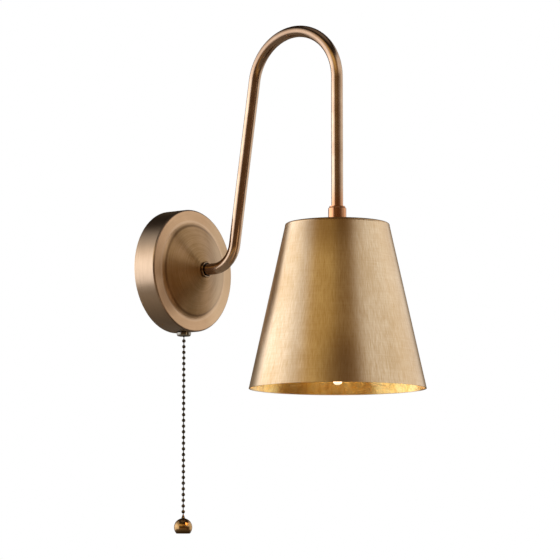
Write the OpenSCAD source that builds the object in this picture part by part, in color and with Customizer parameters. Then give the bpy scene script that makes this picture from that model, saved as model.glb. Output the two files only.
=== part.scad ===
// Wall lamp: a round plate on the wall, a swan-neck arm, a conical shade and a pull-chain switch.
// The wall is the plane y = 0, the lamp stands out towards -Y, and +Z is up.
// The origin is the middle of the two wall screws.

/* [Wall plate] */
// Outer diameter of the plate
plate_d = 108; // [104:1:130]
// Depth of the rim, from the wall to the flat front ring
rim_depth = 22; // [22:0.5:30]
// Width of the flat front ring
ring_w = 10; // [8:0.5:15]
// Width of the soft step inside the ring
step_w = 5; // [4:0.5:7]
// Height of the soft step
step_h = 2; // [1.5:0.25:3]
// Rise of the shallow cone, from the step to the land in the middle
cone_rise = 12; // [6:0.5:14]
// Diameter of the flat land under the arm
land_d = 16; // [15.6:0.2:24]
// Thickness of the plate's spun sheet
plate_t = 1; // [0.8:0.1:1.4]
// Rounding of the rim's front edge
rim_round = 1.5; // [1:0.25:3]
// Width of the flange that turns in at the wall
flange_w = 4; // [3:0.5:5]

/* [Wall bracket] */
// Thickness of the bracket's steel strip
strip_t = 1.5; // [1.2:0.1:2]
// Width of the upright strip
upright_w = 24; // [22:1:30]
// Distance of the lower end of the upright strip from the middle
upright_low = 34; // [32:1:38]
// Half the length of the level strip that carries the terminals
level_reach = 36; // [35:1:40]
// Width of the level strip
level_w = 20; // [19:1:24]
// Distance between the two wall screws
slot_spacing = 50; // [46:1:52]
// Width of each screw slot
slot_w = 4.5; // [4:0.25:5.5]
// Length of each screw slot, end to end
slot_len = 12; // [8:0.5:13]
// Width of the two hooks that hold the plate's lower flange
hook_w = 10; // [8:1:14]
// Diameter of the cable hole in the bracket
cable_hole_d = 14; // [13:0.5:15]
// Inner diameter of the cable bush
bush_bore_d = 9; // [8:0.5:10]
// Diameter of the headless screw that holds the plate, at the top of the rim
rim_screw_d = 4; // [3:0.5:5]

/* [Arm] */
// Outer diameter of the arm's tube
tube_d = 10; // [9:0.5:12]
// Wall of the arm's tube
tube_t = 1.2; // [1:0.1:1.5]
// Distance of the lamp's axis from the wall
arm_reach = 180; // [160:1:220]
// Height of the centre of the top bend
bend_z = 155; // [120:1:190]
// Radius of the top bend
bend_r = 45; // [38:1:55]
// Length of tube that stands straight out of the plate before the first bend
foot_run = 9.8; // [6:0.2:16]
// Radius of the bend at the wall
foot_r = 23; // [18:0.5:28]
// Diameter of the ring nut in front of the plate
ring_nut_d = 14.2; // [13.6:0.1:17]
// Height of the ring nut
ring_nut_h = 2; // [2:0.1:5]

/* [Shade] */
// Diameter of the shade's closed top
shade_top_d = 89; // [80:1:110]
// Diameter of the shade's open bottom
shade_bottom_d = 150; // [130:1:180]
// Height of the shade
shade_h = 140; // [138:1:160]
// Height of the shade's top face above the wall plate's centre
shade_z = 28.5; // [10:0.5:40]
// Thickness of the shade's sheet
shade_t = 1; // [0.8:0.1:1.5]
// Rounding of the shade's top edge
shade_round = 1.75; // [0.5:0.25:3]
// Thickness of the gold leaf and its ground inside the shade
leaf_t = 0.2; // [0.2:0.05:0.4]
// Diameter of the collar between the tube and the shade
collar_d = 15.4; // [14:0.2:20]
// Height of the collar
collar_h = 15; // [12:0.5:20]

/* [Lampholder] */
// Outer diameter of the lampholder
holder_d = 26; // [25:0.5:30]
// Thickness of the lampholder's moulded wall
holder_t = 1.8; // [1.5:0.1:2]
// Height of the lampholder, under the nut that holds the shade
holder_h = 51; // [50:1:56]

/* [Bulb] */
// Outer diameter of the bulb's screw cap
cap_d = 13.9; // [13.6:0.05:14]
// Length of the bulb, from its contact to its tip
bulb_len = 100; // [92:1:104]
// Largest diameter of the bulb's glass
bulb_d = 35; // [30:1:37]
// Thickness of the bulb's glass
glass_t = 0.8; // [0.6:0.1:1]

/* [Pull switch] */
// Width of the switch
switch_w = 21; // [21:0.5:24]
// Height of the switch
switch_h = 21; // [21:0.5:22]
// Distance of the back of the switch from the wall
switch_back = 3; // [2.5:0.25:3.5]
// Thickness of the switch's moulded wall
switch_t = 1.5; // [1.2:0.1:1.6]
// Diameter of the threaded bush that the chain leaves through
bushing_d = 9; // [8.5:0.25:10]
// Diameter of the round nut under the rim
switch_nut_d = 12.6; // [12.2:0.1:15]
// Height of the round nut
switch_nut_h = 3.4; // [3:0.1:5]

/* [Pull chain] */
// Diameter of a bead
bead_d = 3.2; // [3:0.1:4]
// Distance from bead to bead
bead_pitch = 5; // [4.8:0.1:5.5]
// Number of beads that hang below the switch
bead_count = 31; // [10:1:50]
// Diameter of the wire links between the beads
link_d = 0.9; // [0.8:0.1:1.3]
// Diameter of the ball knob
knob_d = 16; // [13:0.5:20]
// Height cut off the bottom of the ball
knob_cut = 2.6; // [1:0.2:4]

/* [Hidden] */
$fn = 64;

// Clearance between pieces that lie close but don't touch
gap = 0.3;
// Radial clearance of a piece that turns or slides in another
run_clear = 0.05;
// Height of one step of a rounded edge, in degrees of arc
arc_step = 18;

// Wall plate
plate_r = plate_d / 2;
rim_in_r = plate_r - plate_t;
step_r = plate_r - ring_w;
cone_r = step_r - step_w;
land_r = land_d / 2;
cone_u = rim_depth + step_h;
land_u = cone_u + cone_rise;
land_in_u = land_u - plate_t;
cone_angle = atan(cone_rise / (cone_r - land_r));
// Run of the step's soft start and of its soft end
step_ease = 0.36 * step_w;

// Arm
tube_r = tube_d / 2;
tube_in_r = tube_r - tube_t;
bend_swell = 0.02;
arm_washer_t = 0.8;
tag_t = 0.8;
thin_nut_t = 3;
thin_nut_af = 14;
arm_tail = 4;
arm_washer_u = land_in_u - arm_washer_t;
arm_tag_u = arm_washer_u - tag_t;
arm_nut_u = arm_tag_u - thin_nut_t;
arm_start_u = arm_nut_u - arm_tail;
bend_u = arm_reach - bend_r;
foot_u = land_u + foot_run;
// Angle from upright of the straight run that touches both bends
lean = atan2(bend_u - foot_u, bend_z - foot_r)
    - asin((bend_r + foot_r) / norm([bend_u - foot_u, bend_z - foot_r]));
lean_top = [bend_u - bend_r * cos(lean), bend_z + bend_r * sin(lean)];
lean_low = [foot_u + foot_r * cos(lean), foot_r - foot_r * sin(lean)];

// Shade, its collar and what clamps it
nipple_r = tube_r;
nipple_in_r = tube_in_r;
nipple_up = 5;
shade_in_z = shade_z - shade_t;
shade_slope = atan((shade_bottom_d - shade_top_d) / 2 / shade_h);
shade_low_z = shade_z - shade_h;
shade_washer_t = 1;
shade_washer_r = 10;
shade_washer_z = shade_in_z - shade_washer_t;
shade_nut_z = shade_washer_z - thin_nut_t;
collar_chamfer = 1;
collar_spigot_h = 0.8;
tube_socket_h = 7;
tube_end_z = shade_z + collar_h - tube_socket_h;
nipple_top_z = shade_z + nipple_up;
nipple_down = 6;
nipple_len = nipple_top_z - shade_nut_z + nipple_down;

// Lampholder
holder_r = holder_d / 2;
holder_in_r = holder_r - holder_t;
holder_top_z = shade_nut_z - 0.1;
holder_low_z = holder_top_z - holder_h;
holder_cap_h = 15;
holder_seam_z = holder_top_z - holder_cap_h;
holder_lip_t = 1.6;
shell_t = 0.45;
shell_in_r = cap_d / 2 + 0.07;
shell_low_z = holder_low_z + holder_lip_t;
shell_h = 14.5;
insert_low_z = shell_low_z + shell_h;
insert_top_z = holder_seam_z + 4;
insert_r = holder_in_r;
insert_neck_r = 9.5;
insert_recess_r = 7.6;
insert_recess_h = 6;
tongue_t = 0.6;

// Bulb
bulb_top_z = insert_low_z + 3;
bulb_tip_z = bulb_top_z - bulb_len;
bulb_contact_h = 1.5;
bulb_insulator_h = 3.5;
cap_h = 15;
cap_r = cap_d / 2;
cap_t = 0.3;
cap_shoulder = 1.8;
cap_top_z = bulb_top_z - bulb_contact_h - bulb_insulator_h;
cap_low_z = cap_top_z - cap_h;
glass_h = cap_low_z - bulb_tip_z;
bulb_neck_r = 6.2;
bulb_tip_r = 3.6;

// Pull switch
switch_d = rim_depth - plate_t - switch_back - 1;
pull_u = switch_back + switch_d / 2;
switch_low_z = -(plate_r - 3);
switch_top_z = switch_low_z + switch_h;
chamber_w = switch_w - 2 * switch_t;
chamber_low_z = switch_low_z + switch_t;
chamber_top_z = switch_top_z - switch_t;
bushing_r = bushing_d / 2;
bushing_bore_r = bead_d / 2 + 0.6;
bushing_flange_r = bushing_r + 1.5;
switch_nut_top_z = -plate_r - 0.02;
switch_nut_low_z = switch_nut_top_z - switch_nut_h;
rotor_r = 6;
rotor_h = 4;
rotor_top_z = chamber_top_z - 0.5;
rotor_low_z = rotor_top_z - rotor_h;
pin_r = 1;
crown_top_z = rotor_low_z - 0.4;
crown_h = 3.2;
crown_r = 5;
stem_r = 1.8;
stem_low_z = switch_low_z;
spring_r = 3.3;
spring_wire_r = 0.3;
spring_turns = 3.5;
finger_t = 0.5;
contact_w = 4;
tab_up = 3;

// Pull chain
bead_r = bead_d / 2;
first_bead_z = switch_nut_low_z - 4.2;
last_bead_z = first_bead_z - (bead_count - 1) * bead_pitch;
lead_low_z = first_bead_z + bead_pitch;
knob_r = knob_d / 2;
bell_h = 3.2;
bell_r = 1.7;
bell_tip_z = last_bead_z - bead_r - 1;
knob_top_z = bell_tip_z - bell_h + 0.2;
knob_z = knob_top_z - knob_r;

// Terminals and wires
block_w = 18;
block_h = 14;
block_d = 11.5;
block_x = -26;
pole_pitch = 9;
wire_bore_r = 1.7;
block_screw_r = 1.5;
wire_u = strip_t + 5;
wire_r = 1.1;
earth_wire_r = 1.3;
wire_offset = 1.3;
wire_in = 4;
earth_x = 26;
m4_r = 2;
m4_head_r = 4;
m4_head_h = 2.4;
barrel_len = 7;
barrel_r = 1.9;
arm_tag_sink = 3.6;

// Turns what stands on the XY plane so that it stands out from the wall, u away from it
module from_wall(u = 0) {
    translate([0, -u, 0]) rotate([90, 0, 0]) children();
}

// Lays the XY plane into the arm's plane: X runs out from the wall and Y runs up
module in_arm_plane() {
    rotate([90, 0, -90]) children();
}

// A tube or ring that stands on the XY plane
module ring(r_out, r_in, h) {
    difference() {
        cylinder(r = r_out, h = h);
        translate([0, 0, -1]) cylinder(r = r_in, h = h + 2);
    }
}

// A hexagon nut that stands on the XY plane
module hex_nut(across, bore_r, h) {
    difference() {
        cylinder(d = across / cos(30), h = h, $fn = 6);
        translate([0, 0, -1]) cylinder(r = bore_r, h = h + 2);
    }
}

// A slotted pan head screw: the head's underside lies on the XY plane and the shank points down
module pan_screw(r, len, head_r, head_h) {
    difference() {
        rotate_extrude() polygon(concat(
            [[0, -len], [r - 0.4, -len], [r, -len + 0.4], [r, 0], [head_r, 0], [head_r, head_h * 0.45]],
            arc([head_r - head_h * 0.55, head_h * 0.45], head_h * 0.55, 0, 90, 4),
            [[0, head_h]]));
        translate([-head_r, -0.4, head_h * 0.5]) cube([2 * head_r, 0.8, head_h]);
    }
}

// Points of an arc round a centre
function arc(c, r, a0, a1, n) = [
    for (i = [0:n])
        let (a = a0 + (a1 - a0) * i / n)
        [c[0] + r * cos(a), c[1] + r * sin(a)]
];
function arc_n(sweep) = max(2, ceil(abs(sweep) / arc_step));

// Points of a smooth curve between two ends, steered by two handles
function bezier(a, b, c, d, n) = [
    for (i = [0:n])
        let (t = i / n, s = 1 - t)
        s * s * s * a + 3 * s * s * t * b + 3 * s * t * t * c + t * t * t * d
];

function unit(v) = v / norm(v);
function tangents(p) = [
    for (i = [0:len(p) - 1]) unit(p[min(i + 1, len(p) - 1)] - p[max(i - 1, 0)])
];
function flattened(n, t) = unit(n - (n * t) * t);
// Directions square to the path that turn as little as possible from point to point
function normals(t) = [
    for (i = 0, n = flattened([0.3, 0.2, 1], t[0] + [0.001, 0.002, 0]);
        i < len(t);
        n = flattened(n, t[min(i + 1, len(t) - 1)]), i = i + 1) n
];

// A round wire swept along a list of points
module wire_along(path, r, sides = 8) {
    t = tangents(path);
    n = normals(t);
    last = len(path) - 1;
    points = [
        for (i = [0:last], k = [0:sides - 1])
            let (a = 360 * k / sides)
            path[i] + r * (cos(a) * n[i] + sin(a) * cross(t[i], n[i]))
    ];
    sides_faces = [
        for (i = [0:last - 1], k = [0:sides - 1])
            let (m = (k + 1) % sides, o = i * sides)
            each [
                [o + k, o + sides + m, o + m],
                [o + k, o + sides + k, o + sides + m]
            ]
    ];
    first_face = [for (k = [0:sides - 1]) k];
    last_face = [for (k = [sides - 1:-1:0]) last * sides + k];
    polyhedron(points = points, faces = concat([first_face], sides_faces, [last_face]));
}

// Half section of the plate's outer face, or of its inner face a thickness t behind it:
// each corner is a distance from the plate's axis and a distance from the wall
function plate_face(t) = concat(
    arc([plate_r - rim_round, rim_depth - rim_round], max(0.1, rim_round - t), 0, 90, arc_n(90)),
    [for (p = bezier(
        [step_r, rim_depth], [step_r - step_ease, rim_depth],
        [cone_r + step_ease, cone_u - step_ease * tan(cone_angle)], [cone_r, cone_u], 6)) p - [0, t]],
    [[land_r, land_u - t]]
);

function reversed(p) = [for (i = [len(p) - 1:-1:0]) p[i]];

module wall_bracket() {
    hook_in = plate_r - flange_w - 3;
    hook_u = plate_t + gap;
    color("lightsteelblue") difference() {
        from_wall() {
            linear_extrude(strip_t) {
                translate([-upright_w / 2, -upright_low]) square([upright_w, upright_low + 40]);
                translate([-6, 38]) square([12, rim_in_r - 38 - 0.6]);
                translate([-level_reach, -level_w / 2]) square([2 * level_reach, level_w]);
            }
            for (a = [-135, -45]) rotate([0, 0, a]) {
                translate([12, -hook_w / 2, 0]) cube([hook_in + 1.5 - 12, hook_w, strip_t]);
                translate([hook_in, -hook_w / 2, 0]) cube([1.5, hook_w, hook_u + strip_t]);
                translate([hook_in, -hook_w / 2, hook_u]) cube([plate_r - 2 - hook_in, hook_w, strip_t]);
            }
            translate([-6, rim_in_r - 0.6 - strip_t, 0]) cube([12, strip_t, pull_u + 5.5]);
        }
        from_wall(-1) {
            cylinder(d = cable_hole_d, h = strip_t + 2);
            for (s = [-1, 1]) translate([0, s * slot_spacing / 2, 0]) linear_extrude(strip_t + 2) {
                for (e = [-1, 1]) translate([0, e * (slot_len - slot_w) / 2]) circle(d = slot_w);
                square([slot_w, slot_len - slot_w], center = true);
            }
            translate([block_x, 0, 0]) cylinder(r = block_screw_r, h = strip_t + 2);
            translate([earth_x, 0, 0]) cylinder(r = m4_r, h = strip_t + 2);
        }
        translate([0, -pull_u, rim_in_r - 4]) cylinder(d = rim_screw_d, h = 5);
    }
}

module cable_bush() {
    color("dimgray") from_wall() rotate_extrude() polygon([
        [bush_bore_d / 2, 0], [cable_hole_d / 2, 0], [cable_hole_d / 2, strip_t],
        [cable_hole_d / 2 + 2, strip_t], [cable_hole_d / 2 + 2, strip_t + 0.8],
        [cable_hole_d / 2 + 1.4, strip_t + 1.4], [bush_bore_d / 2 + 0.6, strip_t + 1.4],
        [bush_bore_d / 2, strip_t + 0.8]
    ]);
}

module terminal_block() {
    color("ivory") translate([block_x, -strip_t, 0]) difference() {
        union() {
            translate([-block_w / 2, -block_d, -block_h / 2]) cube([block_w, block_d - 2, block_h]);
            translate([-block_w / 2 + 1, -2, -block_h / 2 + 1]) cube([block_w - 2, 2, block_h - 2]);
        }
        for (s = [-1, 1]) translate([s * pole_pitch / 2, 0, 0]) {
            translate([0, strip_t - wire_u, -block_h]) cylinder(r = wire_bore_r, h = 2 * block_h);
            for (e = [-1, 1]) translate([0, 0, e * block_h / 4]) from_wall(wire_u - strip_t)
                cylinder(r = block_screw_r, h = block_d);
        }
        from_wall(-1) cylinder(r = 1.2, h = block_d + 2);
        from_wall(block_d - 2) cylinder(r = 2.4, h = 3);
    }
}

module terminal_screws() {
    color("gold") for (s = [-1, 1], e = [-1, 1])
        translate([block_x + s * pole_pitch / 2, 0, e * block_h / 4])
            from_wall(wire_u + wire_r + 0.1) difference() {
                cylinder(r = block_screw_r, h = 4.5);
                translate([-2, -0.3, 3.9]) cube([4, 0.6, 1]);
            }
}

module terminal_fixing_screw() {
    color("silver") translate([block_x, 0, 0]) from_wall(strip_t + block_d - 2) {
        difference() {
            cylinder(r = 2.2, h = 1.6);
            translate([-3, -0.3, 1]) cube([6, 0.6, 1]);
        }
        translate([0, 0, -block_d + 2]) cylinder(r = 1.2, h = block_d - 2);
        translate([0, 0, -block_d + 2 - strip_t]) cylinder(r = block_screw_r, h = strip_t);
    }
}

module earth_screw() {
    color("goldenrod") translate([earth_x, 0, 0]) from_wall(strip_t + tag_t)
        pan_screw(m4_r, strip_t + tag_t, m4_head_r, m4_head_h);
}

module backplate() {
    color("peru") difference() {
        from_wall() rotate_extrude() polygon(concat(
            [[plate_r - flange_w, 0], [plate_r, 0]],
            plate_face(0),
            [[tube_r + 0.2, land_u], [tube_r + 0.2, land_in_u]],
            reversed(plate_face(plate_t)),
            [[rim_in_r, plate_t], [plate_r - flange_w, plate_t]]));
        translate([0, -pull_u, -plate_r - 1]) cylinder(r = bushing_r + 0.1, h = 4);
        translate([0, -pull_u, plate_r - 3]) cylinder(r = rim_screw_d / 2 + 0.2, h = 4);
        translate([-6.5, -plate_t - 0.01, rim_in_r - flange_w]) cube([13, plate_t + 1, flange_w - 0.3]);
    }
}

module rim_screw() {
    r = rim_screw_d / 2;
    len = 6;
    sunk = 0.3;
    color("peru") translate([0, -pull_u, plate_r - sunk - len]) difference() {
        rotate_extrude() polygon([[0, 0], [r - 0.4, 0], [r, 0.4], [r, len - 0.2], [r - 0.2, len], [0, len]]);
        translate([-rim_screw_d, -0.3, len - 1]) cube([2 * rim_screw_d, 0.6, 2]);
    }
}

// Section of the arm's tube
module tube_section(swell = 0) {
    difference() {
        circle(r = tube_r + swell);
        circle(r = tube_in_r - swell);
    }
}

// A bend of the arm round a centre in the arm's plane
module bend(c, r, a0, a1) {
    translate([c[0], c[1], 0]) rotate([0, 0, a0]) rotate_extrude(angle = a1 - a0)
        translate([r, 0]) tube_section(bend_swell);
}

// A straight run of the arm between two points of the arm's plane
module run(a, b) {
    d = b - a;
    translate([a[0], a[1], 0]) rotate([0, 0, atan2(d[1], d[0])]) rotate([0, 90, 0])
        linear_extrude(norm(d)) tube_section();
}

module arm_tube() {
    bite = [0.5 * sin(lean), 0.5 * cos(lean)];
    color("peru") in_arm_plane() {
        run([arm_start_u, 0], [foot_u + 0.5, 0]);
        bend([foot_u, foot_r], foot_r, -90, -lean);
        run(lean_low - bite, lean_top + bite);
        bend([bend_u, bend_z], bend_r, 0, 180 - lean);
        run([arm_reach, bend_z + 0.5], [arm_reach, tube_end_z]);
    }
}

module arm_ring_nut() {
    recess_r = tube_r + 1;
    color("sienna") from_wall(land_u) rotate_extrude() polygon([
        [tube_r, 0], [ring_nut_d / 2 - 0.3, 0], [ring_nut_d / 2, 0.3],
        [ring_nut_d / 2, ring_nut_h - 0.5], [ring_nut_d / 2 - 0.5, ring_nut_h],
        [recess_r, ring_nut_h], [recess_r, ring_nut_h - 1.2], [tube_r, ring_nut_h - 1.2]
    ]);
}

module arm_washer() {
    color("silver") from_wall(arm_washer_u) ring(land_r - 1.2, tube_r, arm_washer_t);
}

// A crimped ring tag: its ring lies on the XY plane and its barrel points along -Y
module ring_tag(r_out, r_in, sink, len) {
    difference() {
        union() {
            cylinder(r = r_out, h = tag_t);
            translate([-1.6, -r_out - 2, 0]) cube([3.2, 4, tag_t]);
        }
        translate([0, 0, -1]) cylinder(r = r_in, h = 4);
    }
    translate([0, -r_out - 2, -sink]) rotate([90, 0, 0]) ring(barrel_r, earth_wire_r + 0.02, len);
    translate([-1.6, -r_out - 2.5, -max(0, sink - barrel_r + 0.4)])
        cube([3.2, 0.8, tag_t + max(0, sink - barrel_r + 0.4)]);
}

module earth_tags() {
    color("silver") {
        translate([earth_x, 0, 0]) from_wall(strip_t)
            ring_tag(m4_head_r, m4_r, -(barrel_r + 0.1), barrel_len);
        from_wall(arm_tag_u) ring_tag(land_r - 1.2, tube_r, arm_tag_sink, barrel_len);
    }
}

module arm_nut() {
    color("silver") from_wall(arm_nut_u) hex_nut(thin_nut_af, tube_r, thin_nut_t);
}

module earth_wire() {
    a = [earth_x, -strip_t - barrel_r - 0.1, -m4_head_r - 2 - 1];
    d = [0, -arm_tag_u + arm_tag_sink, -land_r + 1.2 - 2 - 1];
    color("yellowgreen") wire_along(concat(
        [a],
        bezier(a - [0, 0, barrel_len], a - [0, 0, 22], d + [5, 8, -17], d - [0, 0, barrel_len], 20),
        [d]), earth_wire_r);
}

module shade_collar() {
    r = collar_d / 2;
    color("chocolate") translate([0, -arm_reach, shade_z]) rotate_extrude() polygon([
        [nipple_r, 0], [r, 0], [r, collar_h - collar_spigot_h - collar_chamfer],
        [r - collar_chamfer, collar_h - collar_spigot_h], [r - collar_chamfer, collar_h],
        [tube_r, collar_h]
    ]);
}

// Half section of the shade, or of its lining: each corner is a distance from the axis and a height
function shade_corner(z, t) = [shade_top_d / 2 + (shade_z - z) * tan(shade_slope) - t / cos(shade_slope), z];
function shade_side(t, low) = concat(
    [shade_corner(low, t)],
    arc([shade_top_d / 2 - shade_round, shade_z - shade_round], max(0.1, shade_round - t),
        -shade_slope, 90, arc_n(90)));

module shade() {
    color("burlywood") translate([0, -arm_reach, 0]) rotate_extrude() polygon(concat(
        [[nipple_r + 0.1, shade_z]],
        reversed(shade_side(0, shade_low_z)),
        [shade_corner(shade_low_z, shade_t), shade_corner(shade_in_z, shade_t)],
        [[nipple_r + 0.1, shade_in_z]]));
}

module leaf_lining() {
    low = shade_low_z + 0.4;
    hole_r = shade_washer_r + 0.5;
    color("gold") translate([0, -arm_reach, 0]) rotate_extrude() polygon([
        [hole_r, shade_in_z], shade_corner(shade_in_z, shade_t), shade_corner(low, shade_t),
        shade_corner(low, shade_t + leaf_t), shade_corner(shade_in_z - leaf_t, shade_t + leaf_t),
        [hole_r, shade_in_z - leaf_t]
    ]);
}

module shade_nipple() {
    color("silver") translate([0, -arm_reach, nipple_top_z - nipple_len])
        ring(nipple_r, nipple_in_r, nipple_len);
}

module shade_washer() {
    color("silver") translate([0, -arm_reach, shade_washer_z])
        ring(shade_washer_r, nipple_r, shade_washer_t);
}

module shade_nut() {
    color("silver") translate([0, -arm_reach, shade_nut_z]) hex_nut(thin_nut_af, nipple_r, thin_nut_t);
}

module lampholder_cap() {
    top_r = 9;
    boss_r = nipple_r + 1.8;
    boss_low_z = nipple_top_z - nipple_len;
    color("dimgray") translate([0, -arm_reach, 0]) rotate_extrude() polygon(concat(
        [[nipple_r, holder_top_z]],
        arc([top_r, holder_top_z - (holder_r - top_r)], holder_r - top_r, 90, 0, 5),
        [[holder_r, holder_seam_z], [holder_in_r, holder_seam_z]],
        arc([top_r, holder_top_z - (holder_r - top_r)], holder_r - top_r - holder_t, 0, 90, 5),
        [[boss_r, holder_top_z - holder_t], [boss_r, boss_low_z], [nipple_r, boss_low_z]]));
}

module lampholder_body() {
    color("dimgray") translate([0, -arm_reach, 0]) rotate_extrude() polygon([
        [holder_in_r, holder_seam_z], [holder_r, holder_seam_z], [holder_r, holder_low_z + 1],
        [holder_r - 1, holder_low_z], [shell_in_r + 0.5, holder_low_z],
        [shell_in_r + 0.1, holder_low_z + 0.4], [shell_in_r + 0.1, shell_low_z],
        [holder_in_r, shell_low_z]
    ]);
}

module lampholder_insert() {
    flange_h = 5;
    color("white") translate([0, -arm_reach, 0]) difference() {
        rotate_extrude() polygon([
            [0, insert_low_z + insert_recess_h], [insert_recess_r, insert_low_z + insert_recess_h],
            [insert_recess_r, insert_low_z], [insert_neck_r, insert_low_z],
            [insert_neck_r, holder_seam_z - flange_h], [insert_r, holder_seam_z - flange_h],
            [insert_r, holder_seam_z], [insert_neck_r, holder_seam_z],
            [insert_neck_r, insert_top_z], [0, insert_top_z]
        ]);
        for (s = [-1, 1]) translate([s * wire_offset, 0, insert_top_z - wire_in])
            cylinder(r = wire_r + 0.1, h = wire_in + 1);
    }
}

module lampholder_shell() {
    color("gold") translate([0, -arm_reach, shell_low_z]) {
        ring(shell_in_r + shell_t, shell_in_r, shell_h);
        translate([0, 0, shell_h - 0.6]) ring(insert_neck_r, shell_in_r, 0.6);
    }
}

module lampholder_contact() {
    roof_z = insert_low_z + insert_recess_h;
    color("gold") translate([0, -arm_reach, 0]) {
        translate([-5, -2, roof_z - tongue_t]) cube([8, 4, tongue_t]);
        translate([-5, -2, bulb_top_z]) cube([tongue_t, 4, roof_z - bulb_top_z]);
        translate([-5, -2, bulb_top_z]) cube([7.5, 4, tongue_t]);
    }
}

// Middle line of a wire that runs through the arm, beside the tube's axis
function arm_line(side) = [
    for (p = concat(
        [[arm_start_u + 1, 0]],
        arc([foot_u, foot_r], foot_r, -90, -lean, 9),
        arc([bend_u, bend_z], bend_r, 180 - lean, 0, 28),
        [[arm_reach, insert_top_z - wire_in]]))
    [side, -p[0], p[1]]
];

module wire_live() {
    start = [switch_w / 2 - 2.5, -pull_u, switch_top_z + tab_up + 0.2];
    arm = arm_line(wire_offset);
    color("saddlebrown") wire_along(concat(
        bezier(start, start + [0, 0, 20], arm[0] + [0, 17, 0], arm[0], 16),
        [for (i = [1:len(arm) - 1]) arm[i]]), wire_r);
}

module wire_neutral() {
    start = [block_x + pole_pitch / 2, -wire_u, -block_h / 2];
    arm = arm_line(-wire_offset);
    color("steelblue") wire_along(concat(
        [start + [0, 0, wire_in]],
        bezier(start, start - [0, 0, 9], arm[0] + [0, 19, 0], arm[0], 16),
        [for (i = [1:len(arm) - 1]) arm[i]]), wire_r);
}

module wire_switch_feed() {
    start = [block_x - pole_pitch / 2, -wire_u, -block_h / 2];
    end = [-switch_w / 2 + 2.5, -pull_u, switch_top_z + tab_up + 0.2];
    color("saddlebrown") wire_along(concat(
        [start + [0, 0, wire_in]],
        bezier(start, start - [0, 0, 14], end + [0, 0, 12], end, 14)), wire_r);
}

// Radius of the bulb's glass at a share of its height, from the cap down to the tip
belly_at = 0.36;
function bulb_radius(s) = s < belly_at
    ? bulb_neck_r + (bulb_d / 2 - bulb_neck_r) * pow(sin(90 * s / belly_at), 1.1)
    : bulb_tip_r + (bulb_d / 2 - bulb_tip_r) * (1 + cos(180 * (s - belly_at) / (1 - belly_at))) / 2;
bulb_steps = 18;
bulb_shoulder = 1 - bulb_tip_r * 0.62 / glass_h;
function bulb_line(t) = concat(
    [for (i = [0:bulb_steps])
        let (s = bulb_shoulder * i / bulb_steps) [bulb_radius(s) - t, cap_low_z - glass_h * s]],
    [for (a = [30:30:90]) [(bulb_tip_r - t) * cos(a), bulb_tip_z + t + (bulb_tip_r * 0.62 - t) * (1 - sin(a))]]);

module bulb_glass() {
    color("ivory") translate([0, -arm_reach, 0]) rotate_extrude()
        polygon(concat(bulb_line(0), reversed(bulb_line(glass_t))));
}

module bulb_stem() {
    stem_h = 26;
    color("whitesmoke") translate([0, -arm_reach, cap_low_z - stem_h]) {
        cylinder(r1 = 1.6, r2 = 4.4, h = stem_h);
        translate([0, 0, stem_h]) cylinder(r = bulb_neck_r - glass_t, h = 3);
    }
}

module bulb_filaments() {
    filament_h = 32;
    color("khaki") translate([0, -arm_reach, cap_low_z - 16]) for (a = [45:90:315]) rotate([0, 0, a]) {
        translate([8, 0, -filament_h]) cylinder(r = 0.9, h = filament_h);
        translate([3, 0, -0.4]) rotate([0, 90, 0]) cylinder(r = 0.4, h = 5);
    }
}

module bulb_cap() {
    color("silver") translate([0, -arm_reach, 0]) rotate_extrude() polygon([
        [cap_r, cap_low_z], [cap_r, cap_top_z - cap_shoulder], [cap_r - cap_shoulder, cap_top_z],
        [cap_r - cap_shoulder - 1.4 * cap_t, cap_top_z],
        [cap_r - cap_t, cap_top_z - cap_shoulder - 0.4 * cap_t], [cap_r - cap_t, cap_low_z]
    ]);
}

module bulb_insulator() {
    color("dimgray") translate([0, -arm_reach, 0]) rotate_extrude() polygon([
        [0, cap_top_z], [cap_r - cap_shoulder, cap_top_z], [3.4, cap_top_z + bulb_insulator_h],
        [0, cap_top_z + bulb_insulator_h]
    ]);
}

module bulb_contact() {
    color("silver") translate([0, -arm_reach, bulb_top_z - bulb_contact_h])
        cylinder(r1 = 2.6, r2 = 2, h = bulb_contact_h);
}

module switch_body() {
    color("dimgray") difference() {
        translate([-switch_w / 2, -switch_back - switch_d, switch_low_z])
            cube([switch_w, switch_d - switch_t, switch_h]);
        translate([-chamber_w / 2, -switch_back - switch_d + switch_t, chamber_low_z])
            cube([chamber_w, switch_d, switch_h - 2 * switch_t]);
        translate([0, -pull_u, switch_low_z - 1]) cylinder(r = stem_r + 0.2, h = switch_t + 2);
        for (s = [-1, 1])
            translate([s * (chamber_w / 2 - finger_t / 2), -pull_u, chamber_top_z + switch_t / 2])
                cube([finger_t, contact_w, switch_t + 1], center = true);
    }
}

module switch_cover() {
    color("gray") translate([-switch_w / 2, -switch_back - switch_t, switch_low_z])
        cube([switch_w, switch_t, switch_h]);
}

module switch_contacts() {
    finger_z = rotor_low_z + rotor_h / 2;
    color("gold") for (s = [-1, 1]) {
        translate([s * (chamber_w / 2 - finger_t / 2), -pull_u, (chamber_low_z + 3 + switch_top_z + tab_up) / 2])
            cube([finger_t, contact_w, switch_top_z + tab_up - chamber_low_z - 3], center = true);
        translate([s * (rotor_r + 0.1 + (chamber_w / 2 - rotor_r - 0.1) / 2), -pull_u, finger_z])
            cube([chamber_w / 2 - rotor_r - 0.1, contact_w, finger_t], center = true);
    }
}

// The rotor is a moulded disc with a brass band that bridges the contacts on two turns out of four
module switch_rotor() {
    tooth_h = 0.6;
    color("whitesmoke") translate([0, -pull_u, rotor_low_z]) difference() {
        ring(rotor_r, pin_r + run_clear, rotor_h);
        for (a = [0:45:315]) rotate([0, 0, a]) translate([2.6, -0.5, -1]) cube([2.6, 1, 1 + tooth_h]);
    }
}

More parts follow.
